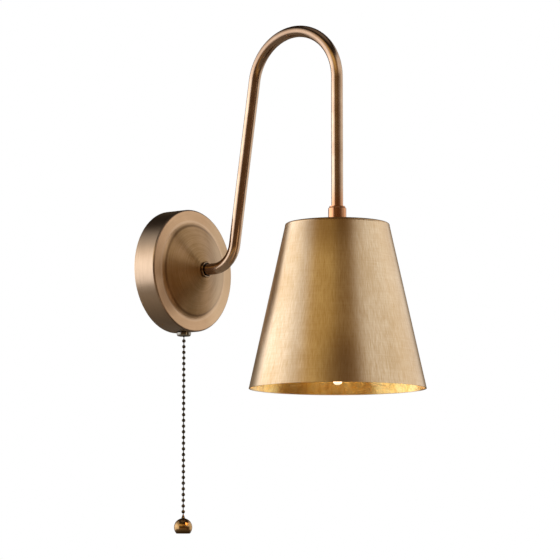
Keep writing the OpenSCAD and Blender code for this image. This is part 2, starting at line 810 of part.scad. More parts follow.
module rotor_pin() {
    color("silver") translate([0, -pull_u, rotor_low_z]) cylinder(r = pin_r, h = chamber_top_z - rotor_low_z);
}

module switch_bushing() {
    flange_low = -sqrt(pow(rim_in_r, 2) - pow(bushing_flange_r, 2));
    end = switch_nut_low_z + 0.4;
    color("silver") translate([0, -pull_u, 0]) rotate_extrude() polygon([
        [bushing_bore_r, switch_low_z], [bushing_flange_r, switch_low_z], [bushing_flange_r, flange_low],
        [bushing_r, flange_low], [bushing_r, end + 0.3], [bushing_r - 0.3, end],
        [bushing_bore_r + 0.8, end], [bushing_bore_r, end + 1.2]
    ]);
}

module switch_ring_nut() {
    r = switch_nut_d / 2;
    edge_w = 1.2;
    edge_h = 2.4;
    color("gainsboro") translate([0, -pull_u, switch_nut_low_z]) rotate_extrude() polygon(concat(
        [[bushing_r, switch_nut_h], [bushing_r, 0.8], [bushing_r + 0.5, 0]],
        [for (a = [-90:18:0]) [r - edge_w + edge_w * cos(a), edge_h + edge_h * sin(a)]],
        [[r, switch_nut_h - 0.3], [r - 0.3, switch_nut_h]]));
}

module switch_slider() {
    color("white") translate([0, -pull_u, 0]) {
        translate([0, 0, crown_top_z - crown_h]) cylinder(r = crown_r, h = crown_h);
        translate([0, 0, stem_low_z]) cylinder(r = stem_r, h = crown_top_z - stem_low_z - 1);
    }
}

module switch_spring() {
    low = chamber_low_z + spring_wire_r + 0.05;
    high = crown_top_z - crown_h - spring_wire_r - 0.05;
    steps = 12;
    color("silver") wire_along([
        for (i = [0:spring_turns * steps])
            let (a = 360 * i / steps)
            [spring_r * cos(a), spring_r * sin(a) - pull_u, low + (high - low) * i / (spring_turns * steps)]
    ], spring_wire_r, 6);
}

// A run of beads on wire links, from the bead at the top down
module beads(top_z, count) {
    for (i = [0:count - 1]) translate([0, -pull_u, top_z - i * bead_pitch]) sphere(r = bead_r);
    if (count > 1) translate([0, -pull_u, top_z - (count - 1) * bead_pitch])
        cylinder(d = link_d, h = (count - 1) * bead_pitch);
}

module chain_lead() {
    color("dimgray") {
        beads(lead_low_z, 1);
        translate([0, -pull_u, lead_low_z]) cylinder(d = link_d, h = stem_low_z - lead_low_z);
        translate([0, -pull_u, first_bead_z + bead_r + 0.05])
            cylinder(d = link_d, h = bead_pitch - bead_r - 0.05);
    }
}

module chain_top_bead() {
    color("dimgray") beads(first_bead_z, 1);
}

module pull_chain() {
    color("dimgray") {
        beads(first_bead_z - bead_pitch, bead_count - 1);
        translate([0, -pull_u, first_bead_z - bead_pitch])
            cylinder(d = link_d, h = bead_pitch - bead_r - 0.05);
        translate([0, -pull_u, bell_tip_z]) cylinder(d = link_d, h = last_bead_z - bell_tip_z);
    }
}

module knob_bell() {
    color("sienna") translate([0, -pull_u, bell_tip_z - bell_h]) rotate_extrude()
        polygon([[0, 0], [bell_r, 0], [bell_r * 0.75, bell_h * 0.45], [link_d / 2 + 0.2, bell_h], [0, bell_h]]);
}

module pull_knob() {
    color("peru") translate([0, -pull_u, knob_z]) difference() {
        sphere(r = knob_r);
        translate([0, 0, -knob_r - 5 + knob_cut]) cube([knob_d, knob_d, 10], center = true);
        translate([0, 0, bell_tip_z - bell_h - knob_z]) cylinder(r = bell_r, h = 5);
    }
}

wall_bracket();
cable_bush();
terminal_block();
terminal_screws();
terminal_fixing_screw();
earth_screw();
backplate();
rim_screw();
arm_tube();
arm_ring_nut();
arm_washer();
earth_tags();
arm_nut();
earth_wire();
shade_collar();
shade();
leaf_lining();
shade_nipple();
shade_washer();
shade_nut();
lampholder_cap();
lampholder_body();
lampholder_insert();
lampholder_shell();
lampholder_contact();
wire_live();
wire_neutral();
wire_switch_feed();
bulb_glass();
bulb_stem();
bulb_filaments();
bulb_cap();
bulb_insulator();
bulb_contact();
switch_body();
switch_cover();
switch_contacts();
switch_rotor();
rotor_pin();
switch_bushing();
switch_ring_nut();
switch_slider();
switch_spring();
chain_lead();
chain_top_bead();
pull_chain();
knob_bell();
pull_knob();
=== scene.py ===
"""Wall lamp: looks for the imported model, in metres, in the same frame as the CAD.
The wall is the plane y = 0, the lamp stands out towards -Y and +Z is up."""

import math

import bpy
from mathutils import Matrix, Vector


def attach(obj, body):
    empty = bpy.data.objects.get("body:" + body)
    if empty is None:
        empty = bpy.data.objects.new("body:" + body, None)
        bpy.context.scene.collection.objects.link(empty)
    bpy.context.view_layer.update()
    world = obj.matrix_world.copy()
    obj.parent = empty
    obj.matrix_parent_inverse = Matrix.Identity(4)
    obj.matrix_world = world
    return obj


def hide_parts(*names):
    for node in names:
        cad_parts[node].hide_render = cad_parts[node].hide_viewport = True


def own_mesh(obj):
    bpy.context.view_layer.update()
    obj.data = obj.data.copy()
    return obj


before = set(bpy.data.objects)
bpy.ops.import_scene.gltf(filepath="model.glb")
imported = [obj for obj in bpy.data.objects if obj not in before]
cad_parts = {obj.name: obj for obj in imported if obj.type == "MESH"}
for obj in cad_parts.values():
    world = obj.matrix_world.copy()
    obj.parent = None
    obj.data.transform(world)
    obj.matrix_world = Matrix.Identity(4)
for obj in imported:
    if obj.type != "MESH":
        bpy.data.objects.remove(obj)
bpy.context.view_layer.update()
scene = bpy.context.scene


# The photographer's camera: a long lens, left of the lamp and a little below it, looking slightly up.
# It stands 2.4 m away, so the lamp is drawn almost without perspective.
camera_azimuth = math.radians(-52.288)
camera_elevation = math.radians(-6.611)
camera_distance = 2.425555
camera_target = Vector((0.036961, -0.090, -0.009645))
toward_camera = Vector((
    math.sin(camera_azimuth) * math.cos(camera_elevation),
    -math.cos(camera_azimuth) * math.cos(camera_elevation),
    math.sin(camera_elevation),
))
camera = bpy.data.objects.new("camera", bpy.data.cameras.new("camera"))
camera.data.sensor_width = 36
camera.data.lens = 177.855
camera.location = camera_target + toward_camera * camera_distance
camera.rotation_mode = "QUATERNION"
camera.rotation_quaternion = (-toward_camera).to_track_quat("-Z", "Y")
scene.collection.objects.link(camera)
scene.camera = camera
scene.view_settings.view_transform = "Standard"


def srgb(hex_colour):
    """A colour written as sRGB hex, turned to the linear values that the shaders use."""
    parts = [int(hex_colour[i : i + 2], 16) / 255 for i in (1, 3, 5)]
    return tuple(c / 12.92 if c <= 0.04045 else ((c + 0.055) / 1.055) ** 2.4 for c in parts) + (1,)


def add(tree, kind, settings=None, **inputs):
    """Adds a shader node of a kind to a tree. An input is a value, or another node's output to link
    from; its name is the socket's, with _ for a space, or in and its number."""
    node = tree.nodes.new("ShaderNode" + kind)
    for name, value in (settings or {}).items():
        setattr(node, name, value)
    for name, value in inputs.items():
        numbered = name[:2] == "in" and name[2:].isdigit()
        socket = node.inputs[int(name[2:])] if numbered else node.inputs[name.replace("_", " ")]
        if isinstance(value, bpy.types.NodeSocket):
            tree.links.new(value, socket)
        else:
            socket.default_value = value
    return node


# The studio: a surround that the camera sees as plain white. Metal mirrors white panels to the right
# and the left of the camera, the brown and golden dusk of the room behind it and a dark ceiling.
world = bpy.data.worlds.new("studio")
world.use_nodes = True
scene.world = world
tree = world.node_tree
tree.nodes.clear()
ray = add(tree, "TexCoord").outputs["Generated"]
level = add(tree, "VectorMath", {"operation": "MULTIPLY"}, in0=ray, in1=(1, 1, 0))
level = add(tree, "VectorMath", {"operation": "NORMALIZE"}, in0=level.outputs[0]).outputs[0]
height = add(tree, "SeparateXYZ", in0=ray).outputs["Z"]
camera_bearing = math.degrees(math.atan2(toward_camera.y, toward_camera.x))
# Settings that many nodes share: a mix of two colours, and a smooth step from one value to another.
of_colours = {"data_type": "RGBA"}
smoothly = {"interpolation_type": "SMOOTHSTEP"}


def sector(bearing, half_width, softness):
    """1 inside a sector of compass directions and 0 outside it, with a soft edge. The bearing is
    counted from the camera's, to its right, and all three are in degrees."""
    middle = math.radians(camera_bearing + bearing)
    dot = add(tree, "VectorMath", {"operation": "DOT_PRODUCT"}, in0=level,
              in1=(math.cos(middle), math.sin(middle), 0)).outputs["Value"]
    return add(tree, "MapRange", smoothly, Value=dot,
               From_Min=math.cos(math.radians(half_width + softness)),
               From_Max=math.cos(math.radians(max(0, half_width - softness)))).outputs[0]


def between(low, low_soft, high, high_soft):
    """1 between two heights of the surround, as sines of the angle above the horizon, each with its
    softness. A height of 2 or -2 is never reached, so that side is open."""
    up = add(tree, "MapRange", smoothly, Value=height, From_Min=low - low_soft,
             From_Max=low + low_soft).outputs[0]
    down = add(tree, "MapRange", smoothly, Value=height, From_Min=high + high_soft,
               From_Max=high - high_soft).outputs[0]
    return add(tree, "Math", {"operation": "MULTIPLY"}, in0=up, in1=down).outputs[0]


# The surround's colours are linear, and 1 is white.
brown_dusk = (0.46, 0.305, 0.13, 1)
golden_dusk = (1.00, 0.73, 0.29, 1)
dark_lower_wall = (0.10, 0.055, 0.030, 1)
lit_boards = (0.54, 0.35, 0.13, 1)
dim_far_side = (0.13, 0.094, 0.056, 1)
dark_ceiling = (0.030, 0.024, 0.020, 1)
overhead_glow = (0.26, 0.23, 0.20, 1)
white = (1, 1, 1, 1)
dusk = add(tree, "Mix", of_colours, in0=sector(-34, 26, 12), in6=brown_dusk, in7=golden_dusk).outputs[2]
dusk = add(tree, "Mix", of_colours, in0=between(0.28, 0.12, 2, 0.1), in6=dark_lower_wall,
           in7=dusk).outputs[2]
boards = add(tree, "Math", {"operation": "MULTIPLY"}, in0=sector(0, 38, 14),
             in1=between(-2, 0.1, -0.22, 0.10)).outputs[0]
dusk = add(tree, "Mix", of_colours, in0=boards, in6=dusk, in7=lit_boards).outputs[2]
surround = add(tree, "Mix", of_colours, in0=sector(0, 70, 20), in6=dim_far_side, in7=dusk).outputs[2]
surround = add(tree, "Mix", of_colours, in0=between(0.60, 0.09, 2, 0.1), in6=surround,
               in7=dark_ceiling).outputs[2]
surround = add(tree, "Mix", of_colours, in0=between(0.92, 0.05, 2, 0.1), in6=surround,
               in7=overhead_glow).outputs[2]
# The panels, each drawn over the ones before: a grey one on the right, a white one farther round to
# the right, a bright one high on the right and the brightest on the left.
panels = (
    (sector(100, 42, 9), between(0.09, 0.04, 0.66, 0.08), (0.60, 0.57, 0.54, 1)),
    (sector(121, 29, 9), between(-0.36, 0.14, 0.54, 0.10), (1.02, 0.98, 0.94, 1)),
    (sector(76, 40, 14), between(0.30, 0.16, 0.68, 0.08), (1.18, 1.16, 1.13, 1)),
    (sector(-95, 40, 10), between(-0.36, 0.30, 0.42, 0.28), (1.70, 1.72, 1.80, 1)),
)
for bearings, heights, colour in panels:
    panel = add(tree, "Math", {"operation": "MULTIPLY"}, in0=bearings, in1=heights).outputs[0]
    surround = add(tree, "Mix", of_colours, in0=panel, in6=surround, in7=colour).outputs[2]
light_path = add(tree, "LightPath")
seen = add(tree, "Math", {"operation": "MAXIMUM"}, in0=light_path.outputs["Is Camera Ray"],
           in1=light_path.outputs["Is Transmission Ray"]).outputs[0]
surround = add(tree, "Mix", of_colours, in0=seen, in6=surround, in7=white).outputs[2]
background = add(tree, "Background", Color=surround, Strength=1)
add(tree, "OutputWorld", Surface=background.outputs[0])

# A pale floor, as far below the lamp as a room's floor is. The camera sees it as white too.
floor_mesh = bpy.data.meshes.new("floor")
floor_z = -1.35
floor_reach = 3
floor_corners = [(x * floor_reach, y * floor_reach, floor_z)
                 for x, y in ((-1, -1), (1, -1), (1, 1), (-1, 1))]
floor_mesh.from_pydata(floor_corners, [], [(0, 1, 2, 3)])
floor = bpy.data.objects.new("floor", floor_mesh)
scene.collection.objects.link(floor)
floor_material = bpy.data.materials.new("pale_floor")
floor_material.use_nodes = True
tree = floor_material.node_tree
tree.nodes.clear()
shown = add(tree, "Emission", Color=white, Strength=1)
lit = add(tree, "BsdfDiffuse", Color=srgb("#C8C2B9"))
light_path = add(tree, "LightPath")
mixed = add(tree, "MixShader", in0=light_path.outputs["Is Camera Ray"], in1=lit.outputs[0],
            in2=shown.outputs[0])
add(tree, "OutputMaterial", Surface=mixed.outputs[0])
floor_mesh.materials.append(floor_material)

# One soft box, high on the left and beyond the wall's plane, which lifts the shade's left side. The
# wall itself isn't shown.
soft_box = bpy.data.objects.new("soft_box", bpy.data.lights.new("soft_box", "AREA"))
soft_box.data.shape = "SQUARE"
soft_box.data.size = 2.2
soft_box.data.energy = 8
soft_box.location = (-0.92, 1.81, 0.93)
soft_box.rotation_mode = "QUATERNION"
lamp_middle = Vector((0, -0.1, 0))
soft_box.rotation_quaternion = (lamp_middle - soft_box.location).to_track_quat("-Z", "Y")
scene.collection.objects.link(soft_box)


# The wall bracket: a cross of 1.5 mm steel strip, cut and folded in one piece and zinc plated.
# It is screwed to the wall through its two slots and carries everything inside the plate.
def new_material(name):
    """A material with an empty node tree. Returns the material, its tree and the place on the lamp,
    in metres, which the material's patterns follow."""
    material = bpy.data.materials.new(name)
    material.use_nodes = True
    material.node_tree.nodes.clear()
    return material, material.node_tree, add(material.node_tree, "TexCoord").outputs["Object"]


def dress(material, *nodes):
    """Gives CAD nodes a material."""
    for name in nodes:
        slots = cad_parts[name].data.materials
        slots.clear()
        slots.append(material)


# Bright zinc plating: a cool grey with the faint cloudy spangle of the bath, 6 mm across, and rolling
# lines. These are hair-thin on the real one and are drawn 0.7 mm wide.
zinc, tree, place = new_material("zinc_plated_steel")
cloud = add(tree, "TexNoise", Vector=place, Scale=160, Detail=3, Roughness=0.6).outputs["Fac"]
stretched = add(tree, "VectorMath", {"operation": "MULTIPLY"}, in0=place, in1=(1500, 1500, 60)).outputs[0]
lines = add(tree, "TexNoise", Vector=stretched, Scale=1, Detail=2).outputs["Fac"]
tone = add(tree, "Mix", of_colours, in0=cloud, in6=srgb("#A3A8AE"), in7=srgb("#D0D3D2")).outputs[2]
rough = add(tree, "MapRange", Value=cloud, From_Min=0.3, From_Max=0.7, To_Min=0.26, To_Max=0.42).outputs[0]
relief = add(tree, "Bump", Height=lines, Strength=0.35, Distance=0.00001).outputs[0]
metal = add(tree, "BsdfPrincipled", Base_Color=tone, Metallic=1, Roughness=rough, Normal=relief)
add(tree, "OutputMaterial", Surface=metal.outputs[0])
dress(zinc, "wall_bracket")


# The cable bush: a soft rubber ring pushed into the bracket's middle hole, so that the steel
# doesn't cut the supply cable.
rubber, tree, place = new_material("grey_rubber")
grain = add(tree, "TexNoise", Vector=place, Scale=1800, Detail=2).outputs["Fac"]
bloom = add(tree, "TexNoise", Vector=place, Scale=240, Detail=3).outputs["Fac"]
tone = add(tree, "Mix", of_colours, in0=bloom, in6=srgb("#2A2A2B"), in7=srgb("#454443")).outputs[2]
relief = add(tree, "Bump", Height=grain, Strength=0.4, Distance=0.00003).outputs[0]
skin = add(tree, "BsdfPrincipled", Base_Color=tone, Roughness=0.72, Normal=relief)
add(tree, "OutputMaterial", Surface=skin.outputs[0])
dress(rubber, "cable_bush")


# The terminal block: two poles moulded in ivory polyamide. One screw through its middle holds it to
# the bracket. The moulding is satin, slightly see-through at its thin edges, with faint flow marks.
polyamide, tree, place = new_material("ivory_polyamide")
flow = add(tree, "TexNoise", Vector=place, Scale=130, Detail=2, Distortion=0.8).outputs["Fac"]
tone = add(tree, "Mix", of_colours, in0=flow, in6=srgb("#E2DCC9"), in7=srgb("#F1ECDD")).outputs[2]
rough = add(tree, "MapRange", Value=flow, From_Min=0.3, From_Max=0.7, To_Min=0.38, To_Max=0.52).outputs[0]
skin = add(tree, "BsdfPrincipled", Base_Color=tone, Roughness=rough, Subsurface_Weight=0.08,
           Subsurface_Radius=(0.001, 0.0008, 0.0005))
add(tree, "OutputMaterial", Surface=skin.outputs[0])
dress(polyamide, "terminal_block")


# The screws of the terminals and the one that fixes the block: small turned steel screws, zinc plated.
# The lathe leaves rings on them, drawn 0.8 mm apart, which is coarser than the real ones. (A wave
# texture has a crest every pi / 10 / Scale.)
turned_steel, tree, place = new_material("turned_zinc_steel")
rings = add(tree, "TexWave", {"bands_direction": "Y"}, Vector=place, Scale=400,
            Distortion=0.4).outputs["Fac"]
stain = add(tree, "TexNoise", Vector=place, Scale=420, Detail=2).outputs["Fac"]
tone = add(tree, "Mix", of_colours, in0=stain, in6=srgb("#A9A89F"), in7=srgb("#D5D4CE")).outputs[2]
relief = add(tree, "Bump", Height=rings, Strength=0.3, Distance=0.00002).outputs[0]
metal = add(tree, "BsdfPrincipled", Base_Color=tone, Metallic=1, Roughness=0.28, Normal=relief)
add(tree, "OutputMaterial", Surface=metal.outputs[0])
dress(turned_steel, "terminal_screws", "terminal_fixing_screw")


# The earth screw: plain yellow brass, so that its joint with the earth wire doesn't rust.
# It is screwed into the bracket over the wire's ring tag, and has dulled in patches.
yellow_brass, tree, place = new_material("yellow_brass")
tarnish = add(tree, "TexNoise", Vector=place, Scale=300, Detail=4, Roughness=0.6).outputs["Fac"]
tone = add(tree, "Mix", of_colours, in0=tarnish, in6=srgb("#B8924A"), in7=srgb("#E6CD8C")).outputs[2]
rough = add(tree, "MapRange", Value=tarnish, From_Min=0.3, From_Max=0.7, To_Min=0.38,
            To_Max=0.22).outputs[0]
metal = add(tree, "BsdfPrincipled", Base_Color=tone, Metallic=1, Roughness=rough)
add(tree, "OutputMaterial", Surface=metal.outputs[0])
dress(yellow_brass, "earth_screw")


# The wall plate: 1 mm steel sheet, spun on a lathe to a rim, a flat ring, a soft step and a shallow
# cone, then plated in antique brass, brushed as it turned and lacquered. It hangs on the bracket's
# two lower hooks.
plate_r = 0.054
step_out_r = 0.044
step_in_r = 0.039
# Where the right's painted highlight and the rim's painted shade at top and bottom start, and are full.
right_part = (0.012, 0.036)
top_part = (0.022, 0.046)
bottom_part = (-0.026, -0.050)
# The brush leaves rings round the middle, so the gloss fans out from there. The dark patina stays on
# the cone and in the step and is rubbed off towards the rim.
antique_brass, tree, place = new_material("antique_brass_spun")
axes = add(tree, "SeparateXYZ", in0=place)
flat = add(tree, "CombineXYZ", in0=axes.outputs["X"], in2=axes.outputs["Z"]).outputs[0]
radius = add(tree, "VectorMath", {"operation": "LENGTH"}, in0=flat).outputs["Value"]
# Brush lines every millimetre or so, much coarser than the real ones, that fade along their length.
across = add(tree, "CombineXYZ", in0=radius, in1=axes.outputs["Y"]).outputs[0]
across = add(tree, "VectorMath", {"operation": "SCALE"}, in0=across, Scale=1500).outputs[0]
along = add(tree, "VectorMath", {"operation": "SCALE"}, in0=flat, Scale=40).outputs[0]
brushed_place = add(tree, "VectorMath", {"operation": "ADD"}, in0=across, in1=along).outputs[0]
brush = add(tree, "TexNoise", Vector=brushed_place, Scale=1, Detail=3, Roughness=0.65).outputs["Fac"]
cloud = add(tree, "TexNoise", Vector=place, Scale=55, Detail=3, Roughness=0.6).outputs["Fac"]
# How much of the bright brass shows: least on the cone, and most outside the step.
rubbed = add(tree, "MapRange", smoothly, Value=radius, From_Min=step_in_r - 0.001, From_Max=step_out_r,
             To_Min=0.2, To_Max=0.68).outputs[0]
unevenness = add(tree, "MapRange", Value=brush, From_Min=0.3, From_Max=0.7, To_Min=-0.08,
                 To_Max=0.08).outputs[0]
rubbed = add(tree, "Math", {"operation": "ADD"}, in0=rubbed, in1=unevenness).outputs[0]
clouding = add(tree, "MapRange", Value=cloud, From_Min=0.3, From_Max=0.7, To_Min=-0.07,
               To_Max=0.07).outputs[0]
rubbed = add(tree, "Math", {"operation": "ADD", "use_clamp": True}, in0=rubbed, in1=clouding).outputs[0]
tone = add(tree, "Mix", of_colours, in0=rubbed, in6=srgb("#7E5E30"), in7=srgb("#DDB894")).outputs[2]
# Thin lines drawn round the plate: a dark line at the fold of the rim, painted shade along the inside of
# the step and a painted highlight on the step's shoulder. Each line has its radius, how far from it the
# colour starts and is full, how strong it is, and the colour.
for line_r, edge, core, strength, colour in (
    (plate_r - 0.0008, 0.0008, 0.0002, 0.7, "#5E361C"),
    (step_in_r + 0.0006, 0.0015, 0.0003, 0.6, "#5A3E20"),
    (step_out_r - 0.0004, 0.0016, 0.0004, 0.2, "#D9C4AC"),
):
    off_line = add(tree, "Math", {"operation": "SUBTRACT"}, in0=radius, in1=line_r).outputs[0]
    off_line = add(tree, "Math", {"operation": "ABSOLUTE"}, in0=off_line).outputs[0]
    line = add(tree, "MapRange", smoothly, Value=off_line, From_Min=edge, From_Max=core,
               To_Max=strength).outputs[0]
    tone = add(tree, "Mix", of_colours, in0=line, in6=tone, in7=srgb(colour)).outputs[2]
# Painted highlight: the right half is drawn a little paler and brighter.
right_highlight = add(tree, "MapRange", smoothly, Value=axes.outputs["X"], From_Min=right_part[0],
               From_Max=right_part[1], To_Max=0.4).outputs[0]
tone = add(tree, "Mix", of_colours, in0=right_highlight, in6=tone, in7=srgb("#E6CCA8")).outputs[2]
# The rim gets a paler, greyer tone as a painted sheen, and painted shade at its top and bottom.
on_rim = add(tree, "MapRange", Value=radius, From_Min=plate_r - 0.0012,
             From_Max=plate_r - 0.0006).outputs[0]
worn = add(tree, "Math", {"operation": "MULTIPLY"}, in0=on_rim, in1=0.3).outputs[0]
tone = add(tree, "Mix", of_colours, in0=worn, in6=tone, in7=srgb("#CFC4B4")).outputs[2]
rim_top_shade = add(tree, "MapRange", smoothly, Value=axes.outputs["Z"], From_Min=top_part[0],
             From_Max=top_part[1], To_Max=0.8).outputs[0]
rim_bottom_shade = add(tree, "MapRange", smoothly, Value=axes.outputs["Z"], From_Min=bottom_part[0],
                From_Max=bottom_part[1], To_Max=0.5).outputs[0]
rim_shade = add(tree, "Math", {"operation": "ADD"}, in0=rim_top_shade, in1=rim_bottom_shade).outputs[0]
rim_shade = add(tree, "Math", {"operation": "MULTIPLY"}, in0=rim_shade, in1=on_rim).outputs[0]
tone = add(tree, "Mix", of_colours, in0=rim_shade, in6=tone, in7=srgb("#35261A")).outputs[2]
# Painted shade: a darker patch low on the left, across the step.
low_left_shade_middle = (-0.035, 0, -0.024)
low_left_shade_r = 0.024
off_low_left_shade = add(tree, "VectorMath", {"operation": "DISTANCE"}, in0=flat,
                in1=low_left_shade_middle).outputs["Value"]
low_left_shade = add(tree, "MapRange", smoothly, Value=off_low_left_shade, From_Min=low_left_shade_r, From_Max=0.005,
               To_Max=0.5).outputs[0]
low_left_shade = add(tree, "Math", {"operation": "SUBTRACT", "use_clamp": True}, in0=low_left_shade,
               in1=on_rim).outputs[0]
tone = add(tree, "Mix", of_colours, in0=low_left_shade, in6=tone, in7=srgb("#6A4626")).outputs[2]
rough = add(tree, "MapRange", Value=brush, From_Min=0.3, From_Max=0.7, To_Min=0.40, To_Max=0.31).outputs[0]
relief = add(tree, "Bump", Height=brush, Strength=0.3, Distance=0.00002).outputs[0]
round_the_plate = add(tree, "Tangent", {"direction_type": "RADIAL", "axis": "Y"}).outputs[0]
metal = add(tree, "BsdfPrincipled", Base_Color=tone, Metallic=1, Roughness=rough, Anisotropic=0.6,
            Anisotropic_Rotation=0.25, Tangent=round_the_plate, Normal=relief, Coat_Weight=0.1,
            Coat_Roughness=0.12)
add(tree, "OutputMaterial", Surface=metal.outputs[0])
dress(antique_brass, "backplate")


# The rim screw: a small headless screw in the tab at the bracket's top, level with the rim. It stands
# in the rim's hole and so keeps the plate on its hooks. It has the plate's finish, a little darker.
screw_brass, tree, place = new_material("antique_brass_screw")
patina = add(tree, "TexNoise", Vector=place, Scale=600, Detail=3).outputs["Fac"]
tone = add(tree, "Mix", of_colours, in0=patina, in6=srgb("#6E4E2E"), in7=srgb("#B99468")).outputs[2]
metal = add(tree, "BsdfPrincipled", Base_Color=tone, Metallic=1, Roughness=0.34)
add(tree, "OutputMaterial", Surface=metal.outputs[0])
dress(screw_brass, "rim_screw")


# The arm: 10 mm steel tube, bent cold, plated in antique brass, brushed lengthwise and lacquered.
# It is clamped to the plate by the ring nut and the nut behind. It is swept here along the CAD's path,
# so that the brush lines can follow the bends.
tube_r = 0.005
tube_in_r = 0.0038
tube_start_u = 0.0264
arm_reach = 0.180
tube_end_z = 0.0365
tube_sides = 48
# A bend is given by its middle's distance from the wall, its middle's height and its radius.
top_bend = (0.135, 0.155, 0.045)
foot_bend = (0.0458, 0.023, 0.023)
run_out = top_bend[0] - foot_bend[0]
run_up = top_bend[1] - foot_bend[1]
lean = math.atan2(run_out, run_up) - math.asin((top_bend[2] + foot_bend[2]) / math.hypot(run_out, run_up))


def bend_points(bend, first, last, steps):
    """Points of a bend in the arm's plane, each a distance from the wall and a height."""
    for i in range(steps + 1):
        angle = first + (last - first) * i / steps
        yield bend[0] + bend[2] * math.cos(angle), bend[1] + bend[2] * math.sin(angle)


# A point just before and after each bend keeps the straight stretches evenly shaded.
lead = 0.0003
tube_path = [(tube_start_u, 0.0), (foot_bend[0] - lead, 0.0)]
tube_path += bend_points(foot_bend, -math.pi / 2, -lean, 24)
tube_path += [(tube_path[-1][0] + lead * math.sin(lean), tube_path[-1][1] + lead * math.cos(lean))]
bend_start = (top_bend[0] - top_bend[2] * math.cos(lean), top_bend[1] + top_bend[2] * math.sin(lean))
tube_path += [(bend_start[0] - lead * math.sin(lean), bend_start[1] - lead * math.cos(lean))]
tube_path += bend_points(top_bend, math.pi - lean, 0, 72)
tube_path += [(arm_reach, top_bend[1] - lead), (arm_reach, tube_end_z)]
# Each ring has the points of the outside and then those of the bore.
tube_vertices = []
tube_lay = []
length = 0.0
for i, (u, z) in enumerate(tube_path):
    before = tube_path[max(i - 1, 0)]
    after = tube_path[min(i + 1, len(tube_path) - 1)]
    if i > 0:
        length += math.hypot(u - before[0], z - before[1])
    heading = Vector((after[0] - before[0], after[1] - before[1])).normalized()
    for r in (tube_r, tube_in_r):
        for k in range(tube_sides):
            angle = 2 * math.pi * k / tube_sides
            side = r * math.sin(angle)
            outward = r * math.cos(angle)
            tube_vertices.append((side, -(u - outward * heading.y), z + outward * heading.x))
            tube_lay.append((math.cos(angle), math.sin(angle), length))
tube_faces = []
for i in range(len(tube_path) - 1):
    for wall, flip in ((0, False), (tube_sides, True)):
        ring = 2 * tube_sides * i + wall
        next_ring = ring + 2 * tube_sides
        for k in range(tube_sides):
            next_k = (k + 1) % tube_sides
            quad = (ring + k, ring + next_k, next_ring + next_k, next_ring + k)
            tube_faces.append(quad if flip else quad[::-1])
# The cut ends close the wall between the outside and the bore.
for ring, flip in ((0, True), (2 * tube_sides * (len(tube_path) - 1), False)):
    bore = ring + tube_sides
    for k in range(tube_sides):
        next_k = (k + 1) % tube_sides
        quad = (ring + k, ring + next_k, bore + next_k, bore + k)
        tube_faces.append(quad if flip else quad[::-1])
tube_mesh = bpy.data.meshes.new("arm_tube_swept")
tube_mesh.from_pydata(tube_vertices, [], tube_faces)
tube_mesh.polygons.foreach_set("use_smooth", [True] * len(tube_faces))
tube_mesh.set_sharp_from_angle(angle=math.radians(40))
lay_of_tube = tube_mesh.attributes.new("lay", "FLOAT_VECTOR", "POINT")
lay_of_tube.data.foreach_set("vector", [value for point in tube_lay for value in point])
arm_tube = bpy.data.objects.new("arm_tube_swept", tube_mesh)
scene.collection.objects.link(arm_tube)
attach(arm_tube, "lamp")
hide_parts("arm_tube")
tube_brass, tree, place = new_material("antique_brass_tube")
# "lay" holds the direction round the tube and the length along it, so the lines are fine round the
# tube, about 0.6 mm, and some 40 mm long. The lacquer turns coppery in the last 30 mm.
coppery_length = 0.030
lay = add(tree, "Attribute", {"attribute_name": "lay"}).outputs["Vector"]
stretched = add(tree, "VectorMath", {"operation": "MULTIPLY"}, in0=lay, in1=(8, 8, 25)).outputs[0]
brush = add(tree, "TexNoise", Vector=stretched, Scale=1, Detail=3, Roughness=0.6).outputs["Fac"]
cloud = add(tree, "TexNoise", Vector=place, Scale=70, Detail=3, Roughness=0.6).outputs["Fac"]
blend = add(tree, "Mix", {"data_type": "FLOAT"}, in0=0.5, in2=brush, in3=cloud).outputs[0]
rubbed = add(tree, "MapRange", Value=blend, From_Min=0.35, From_Max=0.65).outputs[0]
tone = add(tree, "Mix", of_colours, in0=rubbed, in6=srgb("#B49274"), in7=srgb("#D8BCA0")).outputs[2]
along_tube = add(tree, "SeparateXYZ", in0=lay).outputs["Z"]
near_end = add(tree, "MapRange", smoothly, Value=along_tube, From_Min=length - coppery_length,
               From_Max=length - 0.004, To_Max=0.8).outputs[0]
tone = add(tree, "Mix", of_colours, in0=near_end, in6=tone, in7=srgb("#CC8A5C")).outputs[2]
# Painted shade: the top bend is drawn darker, which damps the golden reflection on it.
top_bend_shade_part = (0.140, 0.185)
top_bend_shade = add(tree, "SeparateXYZ", in0=place).outputs["Z"]
top_bend_shade = add(tree, "MapRange", smoothly, Value=top_bend_shade, From_Min=top_bend_shade_part[0], From_Max=top_bend_shade_part[1],
             To_Max=0.45).outputs[0]
tone = add(tree, "Mix", of_colours, in0=top_bend_shade, in6=tone, in7=srgb("#7C5C44")).outputs[2]
rough = add(tree, "MapRange", Value=brush, From_Min=0.3, From_Max=0.7, To_Min=0.24, To_Max=0.17).outputs[0]
relief = add(tree, "Bump", Height=brush, Strength=0.15, Distance=0.00002).outputs[0]
metal = add(tree, "BsdfPrincipled", Base_Color=tone, Metallic=1, Roughness=rough, Normal=relief,
            Coat_Weight=0.25, Coat_Roughness=0.06)
add(tree, "OutputMaterial", Surface=metal.outputs[0])
tube_mesh.materials.append(tube_brass)
dress(tube_brass, "arm_tube")
